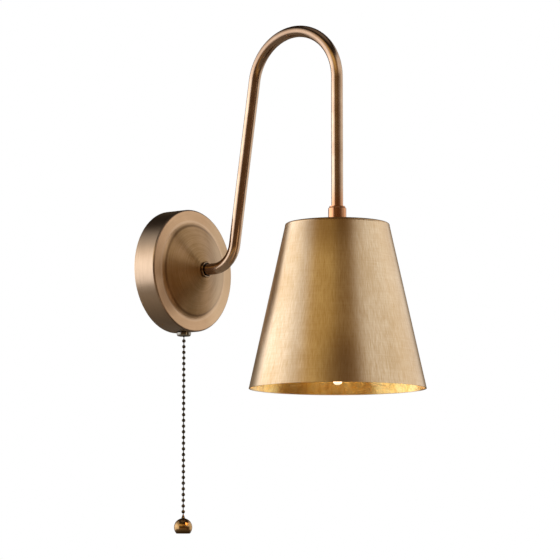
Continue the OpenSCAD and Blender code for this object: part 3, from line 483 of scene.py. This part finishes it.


# The ring nut: turned brass with a sunk face, screwed down the tube onto the plate. It is a little darker
# than the plate, and its recess is drawn nearly black.
recess_r = 0.006
nut_brass, tree, place = new_material("antique_brass_turned")
axes = add(tree, "SeparateXYZ", in0=place)
flat = add(tree, "CombineXYZ", in0=axes.outputs["X"], in2=axes.outputs["Z"]).outputs[0]
radius = add(tree, "VectorMath", {"operation": "LENGTH"}, in0=flat).outputs["Value"]
recess = add(tree, "MapRange", Value=radius, From_Min=recess_r + 0.0002,
             From_Max=recess_r - 0.0002).outputs[0]
patina = add(tree, "TexNoise", Vector=place, Scale=500, Detail=3).outputs["Fac"]
tone = add(tree, "Mix", of_colours, in0=patina, in6=srgb("#6E5238"), in7=srgb("#AC9272")).outputs[2]
tone = add(tree, "Mix", of_colours, in0=recess, in6=tone, in7=srgb("#2E2014")).outputs[2]
metal = add(tree, "BsdfPrincipled", Base_Color=tone, Metallic=1, Roughness=0.2, Coat_Weight=0.4,
            Coat_Roughness=0.08)
add(tree, "OutputMaterial", Surface=metal.outputs[0])
dress(nut_brass, "arm_ring_nut")


# Behind the plate: the washer, the earth wire's ring tags and the thin hexagon nut that clamp the arm.
# They are plated hardware, greyer than the bracket, with stamping marks and a yellow chromate tinge.
hardware, tree, place = new_material("chromated_hardware")
tinge = add(tree, "TexNoise", Vector=place, Scale=190, Detail=2, Distortion=0.5).outputs["Fac"]
marks = add(tree, "TexNoise", Vector=place, Scale=1300, Detail=2).outputs["Fac"]
tone = add(tree, "Mix", of_colours, in0=tinge, in6=srgb("#B9B59E"), in7=srgb("#C9CED2")).outputs[2]
relief = add(tree, "Bump", Height=marks, Strength=0.25, Distance=0.00002).outputs[0]
metal = add(tree, "BsdfPrincipled", Base_Color=tone, Metallic=1, Roughness=0.34, Normal=relief)
add(tree, "OutputMaterial", Surface=metal.outputs[0])
dress(hardware, "arm_washer", "earth_tags", "arm_nut")


# The earth wire: green PVC with two yellow stripes, crimped in a ring tag at each end. It joins the
# plate and the arm to the earthed bracket.
stripe_side = (0.35, 0.9, 0.26)
earth_pvc, tree, _ = new_material("green_yellow_pvc")
facing = add(tree, "NewGeometry").outputs["Normal"]
side = add(tree, "VectorMath", {"operation": "DOT_PRODUCT"}, in0=facing, in1=stripe_side).outputs["Value"]
side = add(tree, "Math", {"operation": "ABSOLUTE"}, in0=side).outputs[0]
stripe = add(tree, "MapRange", Value=side, From_Min=0.66, From_Max=0.70).outputs[0]
tone = add(tree, "Mix", of_colours, in0=stripe, in6=srgb("#2F8F3C"), in7=srgb("#E4D22C")).outputs[2]
skin = add(tree, "BsdfPrincipled", Base_Color=tone, Roughness=0.36)
add(tree, "OutputMaterial", Surface=skin.outputs[0])
dress(earth_pvc, "earth_wire")


# The collar: turned brass with a coppery lacquer, screwed on the nipple between the tube's end and
# the shade. It is shiny, with turning rings that only just show.
copper_lacquer, tree, place = new_material("coppery_lacquered_brass")
axes = add(tree, "SeparateXYZ", in0=place)
level_place = add(tree, "CombineXYZ", in2=axes.outputs["Z"]).outputs[0]
rings = add(tree, "TexNoise", Vector=level_place, Scale=1400, Detail=2).outputs["Fac"]
cloud = add(tree, "TexNoise", Vector=place, Scale=150, Detail=2).outputs["Fac"]
tone = add(tree, "Mix", of_colours, in0=cloud, in6=srgb("#C08258"), in7=srgb("#DAA074")).outputs[2]
relief = add(tree, "Bump", Height=rings, Strength=0.25, Distance=0.00002).outputs[0]
metal = add(tree, "BsdfPrincipled", Base_Color=tone, Metallic=1, Roughness=0.21, Normal=relief,
            Coat_Weight=0.3, Coat_Roughness=0.05)
add(tree, "OutputMaterial", Surface=metal.outputs[0])
dress(copper_lacquer, "shade_collar")


# The shade: 1 mm steel sheet, spun in one piece with its closed top, plated in pale antique brass,
# brushed round and up and down, and lacquered. A nut and washer clamp it on the nipple. Its gloss
# runs up and down the cone, with fine upright streaks and a few level lines from the lathe.
shade_axis = (0, -arm_reach, 0)
shade_top_z = 0.0285
shade_brass, tree, place = new_material("pale_brass_spun")
from_axis = add(tree, "VectorMath", {"operation": "SUBTRACT"}, in0=place, in1=shade_axis).outputs[0]
axes = add(tree, "SeparateXYZ", in0=from_axis)
flat = add(tree, "CombineXYZ", in0=axes.outputs["X"], in1=axes.outputs["Y"]).outputs[0]
bearing = add(tree, "VectorMath", {"operation": "NORMALIZE"}, in0=flat).outputs[0]
# Short upright brush marks, about 0.7 mm wide and 8 mm long, coarser than the real ones.
streak_place = add(tree, "VectorMath", {"operation": "SCALE"}, in0=bearing, Scale=85).outputs[0]
slow_fall = add(tree, "Math", {"operation": "MULTIPLY"}, in0=axes.outputs["Z"], in1=120).outputs[0]
slow_fall = add(tree, "CombineXYZ", in2=slow_fall).outputs[0]
streak_place = add(tree, "VectorMath", {"operation": "ADD"}, in0=streak_place, in1=slow_fall).outputs[0]
streaks = add(tree, "TexNoise", Vector=streak_place, Scale=1, Detail=4, Roughness=0.65).outputs["Fac"]
# Level lines: fine up the shade and long round it, drawn about 1 mm apart.
line_place = add(tree, "VectorMath", {"operation": "SCALE"}, in0=bearing, Scale=2.2).outputs[0]
fast_fall = add(tree, "Math", {"operation": "MULTIPLY"}, in0=axes.outputs["Z"], in1=900).outputs[0]
fast_fall = add(tree, "CombineXYZ", in2=fast_fall).outputs[0]
line_place = add(tree, "VectorMath", {"operation": "ADD"}, in0=line_place, in1=fast_fall).outputs[0]
lines = add(tree, "TexNoise", Vector=line_place, Scale=1, Detail=2, Roughness=0.6).outputs["Fac"]
weave = add(tree, "Mix", {"data_type": "FLOAT"}, in0=0.19, in2=streaks, in3=lines).outputs[0]
rubbed = add(tree, "MapRange", Value=weave, From_Min=0.28, From_Max=0.72).outputs[0]
tone = add(tree, "Mix", of_colours, in0=rubbed, in6=srgb("#CAA87C"), in7=srgb("#ECD9BC")).outputs[2]
# Broad clouds of patina, some 50 mm across, that the rubbing left.
cloud_place = add(tree, "VectorMath", {"operation": "MULTIPLY"}, in0=from_axis, in1=(22, 22, 15)).outputs[0]
clouds = add(tree, "TexNoise", Vector=cloud_place, Scale=1, Detail=3, Roughness=0.55).outputs["Fac"]
clouds = add(tree, "MapRange", Value=clouds, From_Min=0.40, From_Max=0.72, To_Max=0.42).outputs[0]
tone = add(tree, "Mix", of_colours, in0=clouds, in6=tone, in7=srgb("#B48C50")).outputs[2]
# Two patches of painted shade on the side towards the camera, one low down and one under the top. The low
# one is about twice as tall as it is wide, so heights count less there.
low_shade_middle = (-0.0570, -0.0440, -0.0475)
low_shade_r = 0.026
top_shade_middle = (-0.040, -0.020, 0.026)
top_shade_r = 0.040
low_place = add(tree, "VectorMath", {"operation": "MULTIPLY"}, in0=from_axis, in1=(1, 1, 0.45)).outputs[0]
off_low = add(tree, "VectorMath", {"operation": "DISTANCE"}, in0=low_place, in1=low_shade_middle)
low_shade = add(tree, "MapRange", smoothly, Value=off_low.outputs["Value"], From_Min=low_shade_r,
                From_Max=0.004, To_Max=0.58).outputs[0]
tone = add(tree, "Mix", of_colours, in0=low_shade, in6=tone, in7=srgb("#76564A")).outputs[2]
off_top = add(tree, "VectorMath", {"operation": "DISTANCE"}, in0=from_axis, in1=top_shade_middle)
top_shade = add(tree, "MapRange", smoothly, Value=off_top.outputs["Value"], From_Min=top_shade_r,
                From_Max=0.006, To_Max=0.65).outputs[0]
tone = add(tree, "Mix", of_colours, in0=top_shade, in6=tone, in7=srgb("#8E6A42")).outputs[2]
# The last millimetre or so under the top edge is drawn darker.
edge = add(tree, "MapRange", Value=axes.outputs["Z"], From_Min=shade_top_z - 0.0018,
           From_Max=shade_top_z - 0.0008).outputs[0]
tone = add(tree, "Mix", of_colours, in0=edge, in6=tone, in7=srgb("#A07A4C")).outputs[2]
rough = add(tree, "MapRange", Value=weave, From_Min=0.3, From_Max=0.7, To_Min=0.36, To_Max=0.30).outputs[0]
relief = add(tree, "Bump", Height=weave, Strength=0.12, Distance=0.00002).outputs[0]
round_the_shade = add(tree, "Tangent", {"direction_type": "RADIAL", "axis": "Z"}).outputs[0]
metal = add(tree, "BsdfPrincipled", Base_Color=tone, Metallic=1, Roughness=rough, Anisotropic=0.5,
            Anisotropic_Rotation=0.25, Tangent=round_the_shade, Normal=relief, Coat_Weight=0.15,
            Coat_Roughness=0.15)
add(tree, "OutputMaterial", Surface=metal.outputs[0])
dress(shade_brass, "shade")


# The lining: imitation gold leaf, thin as foil, laid by hand in squares on tacky size inside the shade
# and varnished. It wrinkles and cracks, so it glitters, and the brown size shows in the cracks and
# where the leaf has worn.
gold_leaf, tree, place = new_material("gold_leaf")
wrinkles = add(tree, "TexNoise", Vector=place, Scale=75, Detail=4, Roughness=0.5,
               Distortion=1.2).outputs["Fac"]
# The cracks run mostly up and down, 6 mm or so apart, and are drawn 0.5 mm wide.
stretched = add(tree, "VectorMath", {"operation": "MULTIPLY"}, in0=place, in1=(150, 150, 45)).outputs[0]
bent = add(tree, "VectorMath", {"operation": "ADD"}, in0=stretched, in1=wrinkles).outputs[0]
cracks = add(tree, "TexVoronoi", {"feature": "DISTANCE_TO_EDGE"}, Vector=bent, Scale=1).outputs["Distance"]
cracks = add(tree, "MapRange", Value=cracks, From_Min=0.07, From_Max=0.02).outputs[0]
patches = add(tree, "TexNoise", Vector=place, Scale=45, Detail=4, Roughness=0.65,
              Distortion=0.8).outputs["Fac"]
bare = add(tree, "MapRange", smoothly, Value=patches, From_Min=0.52, From_Max=0.66, To_Max=0.5).outputs[0]
cracks = add(tree, "Math", {"operation": "MULTIPLY"}, in0=cracks, in1=0.35).outputs[0]
worn = add(tree, "Math", {"operation": "MAXIMUM"}, in0=bare, in1=cracks).outputs[0]
tone = add(tree, "Mix", of_colours, in0=wrinkles, in6=srgb("#F3B83E"), in7=srgb("#FFEDAC")).outputs[2]
tone = add(tree, "Mix", of_colours, in0=worn, in6=tone, in7=srgb("#D08C34")).outputs[2]
relief = add(tree, "Bump", Height=wrinkles, Strength=0.5, Distance=0.0008).outputs[0]
metal = add(tree, "BsdfPrincipled", Base_Color=tone, Metallic=0.95, Roughness=0.26, Normal=relief,
            Coat_Weight=0.3, Coat_Roughness=0.15)
add(tree, "OutputMaterial", Surface=metal.outputs[0])
dress(gold_leaf, "leaf_lining")


# The nipple, washer and nut that clamp the shade and the lampholder: plated steel. The nipple's M10x1
# thread shows as a relief of its true 1 mm pitch.
nipple_pitch = 0.001
threaded, tree, place = new_material("threaded_zinc_steel")
thread = add(tree, "TexWave", {"bands_direction": "Z", "wave_profile": "TRI"}, Vector=place,
             Scale=math.pi / 10 / nipple_pitch).outputs["Fac"]
cloud = add(tree, "TexNoise", Vector=place, Scale=260, Detail=2).outputs["Fac"]
tone = add(tree, "Mix", of_colours, in0=cloud, in6=srgb("#9FA3A6"), in7=srgb("#CFD0CC")).outputs[2]
relief = add(tree, "Bump", Height=thread, Strength=0.6, Distance=0.0003).outputs[0]
metal = add(tree, "BsdfPrincipled", Base_Color=tone, Metallic=1, Roughness=0.3, Normal=relief)
add(tree, "OutputMaterial", Surface=metal.outputs[0])
dress(threaded, "shade_nipple")
dress(hardware, "shade_washer", "shade_nut")


# The lampholder: a domed cap and a body, moulded in black heat-proof plastic and screwed together at
# the seam. The cap is screwed on the nipple. The skin is satin with a fine grain from the mould.
heatproof, tree, place = new_material("black_heatproof_moulding")
grain = add(tree, "TexNoise", Vector=place, Scale=1500, Detail=2).outputs["Fac"]
haze = add(tree, "TexNoise", Vector=place, Scale=90, Detail=3).outputs["Fac"]
tone = add(tree, "Mix", of_colours, in0=haze, in6=srgb("#121110"), in7=srgb("#232120")).outputs[2]
rough = add(tree, "MapRange", Value=haze, From_Min=0.3, From_Max=0.7, To_Min=0.42, To_Max=0.56).outputs[0]
relief = add(tree, "Bump", Height=grain, Strength=0.4, Distance=0.00003).outputs[0]
skin = add(tree, "BsdfPrincipled", Base_Color=tone, Roughness=rough, Normal=relief)
add(tree, "OutputMaterial", Surface=skin.outputs[0])
dress(heatproof, "lampholder_cap", "lampholder_body")


# The lampholder's insert: white steatite, a dense pottery that stands the bulb's heat. It is held
# between cap and body and carries the screw shell and the contact. Unglazed, with faint grey specks.
steatite, tree, place = new_material("white_steatite")
specks = add(tree, "TexVoronoi", Vector=place, Scale=420).outputs["Distance"]
specks = add(tree, "MapRange", Value=specks, From_Min=0.05, From_Max=0.14).outputs[0]
tone = add(tree, "Mix", of_colours, in0=specks, in6=srgb("#CFCBC1"), in7=srgb("#ECE8DF")).outputs[2]
skin = add(tree, "BsdfPrincipled", Base_Color=tone, Roughness=0.58)
add(tree, "OutputMaterial", Surface=skin.outputs[0])
dress(steatite, "lampholder_insert")


# The screw shell and the centre contact: pressed brass, riveted to the insert. The shell's E14
# thread, 2.82 mm from turn to turn, is drawn as a relief on its plain cylinder.
e14_pitch = 0.00282
pressed_brass, tree, place = new_material("pressed_brass")
thread = add(tree, "TexWave", {"bands_direction": "Z"}, Vector=place,
             Scale=math.pi / 10 / e14_pitch).outputs["Fac"]
stain = add(tree, "TexNoise", Vector=place, Scale=230, Detail=3).outputs["Fac"]
tone = add(tree, "Mix", of_colours, in0=stain, in6=srgb("#B98F46"), in7=srgb("#E3C47C")).outputs[2]
relief = add(tree, "Bump", Height=thread, Strength=0.7, Distance=0.0006).outputs[0]
metal = add(tree, "BsdfPrincipled", Base_Color=tone, Metallic=1, Roughness=0.3, Normal=relief)
add(tree, "OutputMaterial", Surface=metal.outputs[0])
dress(pressed_brass, "lampholder_shell")
dress(yellow_brass, "lampholder_contact")


# The wires: stranded copper in PVC. Brown carries the live to the switch and from there through the
# arm to the lampholder, blue is the neutral. The PVC is satin, with a faint mottle 2 mm across.
for name, dark, light, wires in (
    ("brown_pvc", "#4A2614", "#6B3B20", ("wire_live", "wire_switch_feed")),
    ("blue_pvc", "#1A4E9C", "#2E6DBE", ("wire_neutral",)),
):
    pvc, tree, place = new_material(name)
    mottle = add(tree, "TexNoise", Vector=place, Scale=500, Detail=2).outputs["Fac"]
    tone = add(tree, "Mix", of_colours, in0=mottle, in6=srgb(dark), in7=srgb(light)).outputs[2]
    skin = add(tree, "BsdfPrincipled", Base_Color=tone, Roughness=0.36)
    add(tree, "OutputMaterial", Surface=skin.outputs[0])
    dress(pvc, *wires)


# The bulb's glass: a candle blown from thin glass and coated white inside, which spreads the light of
# the filaments evenly, so the whole candle glows, and only its tip is dimmer.
bulb_top_z = -0.030
bulb_tip_z = -0.108
full_glow_z = -0.085
opal_glass, tree, place = new_material("opal_coated_glass")
axes = add(tree, "SeparateXYZ", in0=place)
coat = add(tree, "TexNoise", Vector=place, Scale=320, Detail=2).outputs["Fac"]
tone = add(tree, "Mix", of_colours, in0=coat, in6=srgb("#F4EEDF"), in7=srgb("#FFFBF2")).outputs[2]
down = add(tree, "MapRange", Value=axes.outputs["Z"], From_Min=bulb_top_z, From_Max=bulb_tip_z).outputs[0]
glow = add(tree, "Mix", of_colours, in0=down, in6=srgb("#FFC985"), in7=srgb("#FFE3B8")).outputs[2]
power = add(tree, "MapRange", Value=axes.outputs["Z"], From_Min=bulb_tip_z, From_Max=full_glow_z,
            To_Min=0.9, To_Max=16).outputs[0]
skin = add(tree, "BsdfPrincipled", Base_Color=tone, Roughness=0.3, Emission_Color=glow,
           Emission_Strength=power)
add(tree, "OutputMaterial", Surface=skin.outputs[0])
dress(opal_glass, "bulb_glass")


# The bulb's stem: clear lead glass, melted to the neck of the bulb, that carries the filaments. The
# flame has left it slightly wavy.
clear_glass, tree, place = new_material("clear_lead_glass")
ream = add(tree, "TexNoise", Vector=place, Scale=140, Detail=2).outputs["Fac"]
relief = add(tree, "Bump", Height=ream, Strength=0.2, Distance=0.0002).outputs[0]
skin = add(tree, "BsdfPrincipled", Base_Color=srgb("#F2F5F2"), Roughness=0.03, IOR=1.55,
           Transmission_Weight=1, Normal=relief)
add(tree, "OutputMaterial", Surface=skin.outputs[0])
dress(clear_glass, "bulb_stem")


# The filaments: four sticks of LED chips under a yellow phosphor, lit, on bare wire arms. The chips
# are 1.2 mm apart and show as paler bands in the glow.
phosphor, tree, place = new_material("lit_phosphor")
chips = add(tree, "TexWave", {"bands_direction": "Z"}, Vector=place, Scale=260).outputs["Fac"]
glow = add(tree, "Mix", of_colours, in0=chips, in6=srgb("#FFC46A"), in7=srgb("#FFE9C4")).outputs[2]
skin = add(tree, "BsdfPrincipled", Base_Color=srgb("#F0C050"), Roughness=0.5, Emission_Color=glow,
           Emission_Strength=4)
add(tree, "OutputMaterial", Surface=skin.outputs[0])
dress(phosphor, "bulb_filaments")


# The bulb's screw cap: thin nickel-plated brass, rolled to the E14 thread, 2.82 mm from turn to turn,
# which is drawn as a relief on its plain cylinder, and cemented to the glass.
rolled_nickel, tree, place = new_material("rolled_nickel_plate")
thread = add(tree, "TexWave", {"bands_direction": "Z"}, Vector=place,
             Scale=math.pi / 10 / e14_pitch).outputs["Fac"]
worn = add(tree, "TexNoise", Vector=place, Scale=300, Detail=3).outputs["Fac"]
tone = add(tree, "Mix", of_colours, in0=worn, in6=srgb("#A9A59B"), in7=srgb("#DAD7CF")).outputs[2]
relief = add(tree, "Bump", Height=thread, Strength=0.8, Distance=0.0006).outputs[0]
metal = add(tree, "BsdfPrincipled", Base_Color=tone, Metallic=1, Roughness=0.26, Normal=relief)
add(tree, "OutputMaterial", Surface=metal.outputs[0])
dress(rolled_nickel, "bulb_cap")


# The bulb's insulator is black glass, poured into the cap and faintly swirled, and its contact is a
# blob of solder on a brass disc, which has gone dull.
vitrite, tree, place = new_material("black_glass")
swirl = add(tree, "TexNoise", Vector=place, Scale=350, Detail=2, Distortion=1.5).outputs["Fac"]
tone = add(tree, "Mix", of_colours, in0=swirl, in6=srgb("#0B0B0D"), in7=srgb("#1F1D22")).outputs[2]
skin = add(tree, "BsdfPrincipled", Base_Color=tone, Roughness=0.12)
add(tree, "OutputMaterial", Surface=skin.outputs[0])
dress(vitrite, "bulb_insulator")
solder, tree, place = new_material("tin_solder")
dull = add(tree, "TexNoise", Vector=place, Scale=700, Detail=3).outputs["Fac"]
tone = add(tree, "Mix", of_colours, in0=dull, in6=srgb("#8F8F8C"), in7=srgb("#C4C4C0")).outputs[2]
metal = add(tree, "BsdfPrincipled", Base_Color=tone, Metallic=1, Roughness=0.38)
add(tree, "OutputMaterial", Surface=metal.outputs[0])
dress(solder, "bulb_contact")


# The pull switch's box and cover: moulded in black phenolic resin, which has a dull shine and a
# brownish tinge, with a fine dust of filler showing. The box stands in the bottom of the plate.
phenolic, tree, place = new_material("black_phenolic")
filler = add(tree, "TexNoise", Vector=place, Scale=1100, Detail=3).outputs["Fac"]
tone = add(tree, "Mix", of_colours, in0=filler, in6=srgb("#17120F"), in7=srgb("#2C2521")).outputs[2]
rough = add(tree, "MapRange", Value=filler, From_Min=0.3, From_Max=0.7, To_Min=0.3, To_Max=0.42).outputs[0]
skin = add(tree, "BsdfPrincipled", Base_Color=tone, Roughness=rough)
add(tree, "OutputMaterial", Surface=skin.outputs[0])
dress(phenolic, "switch_body", "switch_cover")


# Inside the switch: brass contacts and a moulded white rotor that turns on a steel pin and carries
# the moving contact. The acetal of the rotor and of the slider is waxy and nearly matt.
dress(yellow_brass, "switch_contacts")
acetal, tree, place = new_material("white_acetal")
wax = add(tree, "TexNoise", Vector=place, Scale=260, Detail=2).outputs["Fac"]
tone = add(tree, "Mix", of_colours, in0=wax, in6=srgb("#E4E3DE"), in7=srgb("#F4F3EF")).outputs[2]
skin = add(tree, "BsdfPrincipled", Base_Color=tone, Roughness=0.44, Subsurface_Weight=0.1,
           Subsurface_Radius=(0.001, 0.001, 0.0009))
add(tree, "OutputMaterial", Surface=skin.outputs[0])
dress(acetal, "switch_rotor", "switch_slider")


# The rotor's pin and the return spring: drawn steel wire, bright with faint drawing marks. The spring
# stands on the floor of the box, and a pull on the chain squeezes it by the slider's travel.
drawn_steel, tree, place = new_material("drawn_steel_wire")
drawing = add(tree, "TexNoise", Vector=place, Scale=1600, Detail=2).outputs["Fac"]
tone = add(tree, "Mix", of_colours, in0=drawing, in6=srgb("#8E8F90"), in7=srgb("#C2C3C3")).outputs[2]
metal = add(tree, "BsdfPrincipled", Base_Color=tone, Metallic=1, Roughness=0.24)
add(tree, "OutputMaterial", Surface=metal.outputs[0])
dress(drawn_steel, "rotor_pin", "switch_spring")
return_spring = bpy.data.objects.new("return_spring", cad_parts["switch_spring"].data.copy())
scene.collection.objects.link(return_spring)
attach(return_spring, "lamp")
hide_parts("switch_spring")
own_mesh(return_spring)


# The switch's outlet: a threaded bush through the rim and the round nut that clamps it, both nickel
# plated brass. The nickel has gone grey with a warm cast, and is smooth enough to mirror the room.
nickel, tree, place = new_material("nickel_plate")
film = add(tree, "TexNoise", Vector=place, Scale=420, Detail=3).outputs["Fac"]
tone = add(tree, "Mix", of_colours, in0=film, in6=srgb("#6A665F"), in7=srgb("#A6A197")).outputs[2]
rough = add(tree, "MapRange", Value=film, From_Min=0.3, From_Max=0.7, To_Min=0.2, To_Max=0.1).outputs[0]
metal = add(tree, "BsdfPrincipled", Base_Color=tone, Metallic=1, Roughness=rough)
add(tree, "OutputMaterial", Surface=metal.outputs[0])
dress(nickel, "switch_bushing", "switch_ring_nut")


# The ball chain: hollow brass beads rolled round short dumbbell links, plated nearly black and worn
# to a warm grey in patches. The bell at its end, above the knob, has the same finish.
chain_brass, tree, place = new_material("dark_antique_chain")
wear = add(tree, "TexNoise", Vector=place, Scale=700, Detail=3, Roughness=0.6).outputs["Fac"]
tone = add(tree, "Mix", of_colours, in0=wear, in6=srgb("#2C2822"), in7=srgb("#6E6658")).outputs[2]
metal = add(tree, "BsdfPrincipled", Base_Color=tone, Metallic=1, Roughness=0.2)
add(tree, "OutputMaterial", Surface=metal.outputs[0])
dress(chain_brass, "chain_lead", "chain_top_bead", "pull_chain", "knob_bell")


# The ball knob at the end of the chain: turned brass in the plate's antique finish, with painted shade
# under the bell and round its flat underside, which leaves its middle brighter.
knob_z = -0.2252
knob_brass, tree, place = new_material("antique_brass_polished")
axes = add(tree, "SeparateXYZ", in0=place)
level_place = add(tree, "CombineXYZ", in2=axes.outputs["Z"]).outputs[0]
rings = add(tree, "TexNoise", Vector=level_place, Scale=1200, Detail=2).outputs["Fac"]
patina = add(tree, "TexNoise", Vector=place, Scale=260, Detail=3).outputs["Fac"]
tone = add(tree, "Mix", of_colours, in0=patina, in6=srgb("#967044"), in7=srgb("#C4A06C")).outputs[2]
# Painted shade round the flat underside, and then under the bell on top.
underside_shade = add(tree, "MapRange", smoothly, Value=axes.outputs["Z"], From_Min=knob_z - 0.0010,
            From_Max=knob_z - 0.0048, To_Max=0.85).outputs[0]
tone = add(tree, "Mix", of_colours, in0=underside_shade, in6=tone, in7=srgb("#3C2412")).outputs[2]
under_bell_shade = add(tree, "MapRange", smoothly, Value=axes.outputs["Z"], From_Min=knob_z + 0.0032,
            From_Max=knob_z + 0.0077, To_Max=0.75).outputs[0]
tone = add(tree, "Mix", of_colours, in0=under_bell_shade, in6=tone, in7=srgb("#6E4020")).outputs[2]
relief = add(tree, "Bump", Height=rings, Strength=0.2, Distance=0.00002).outputs[0]
metal = add(tree, "BsdfPrincipled", Base_Color=tone, Metallic=1, Roughness=0.22, Normal=relief)
add(tree, "OutputMaterial", Surface=metal.outputs[0])
dress(knob_brass, "pull_knob")
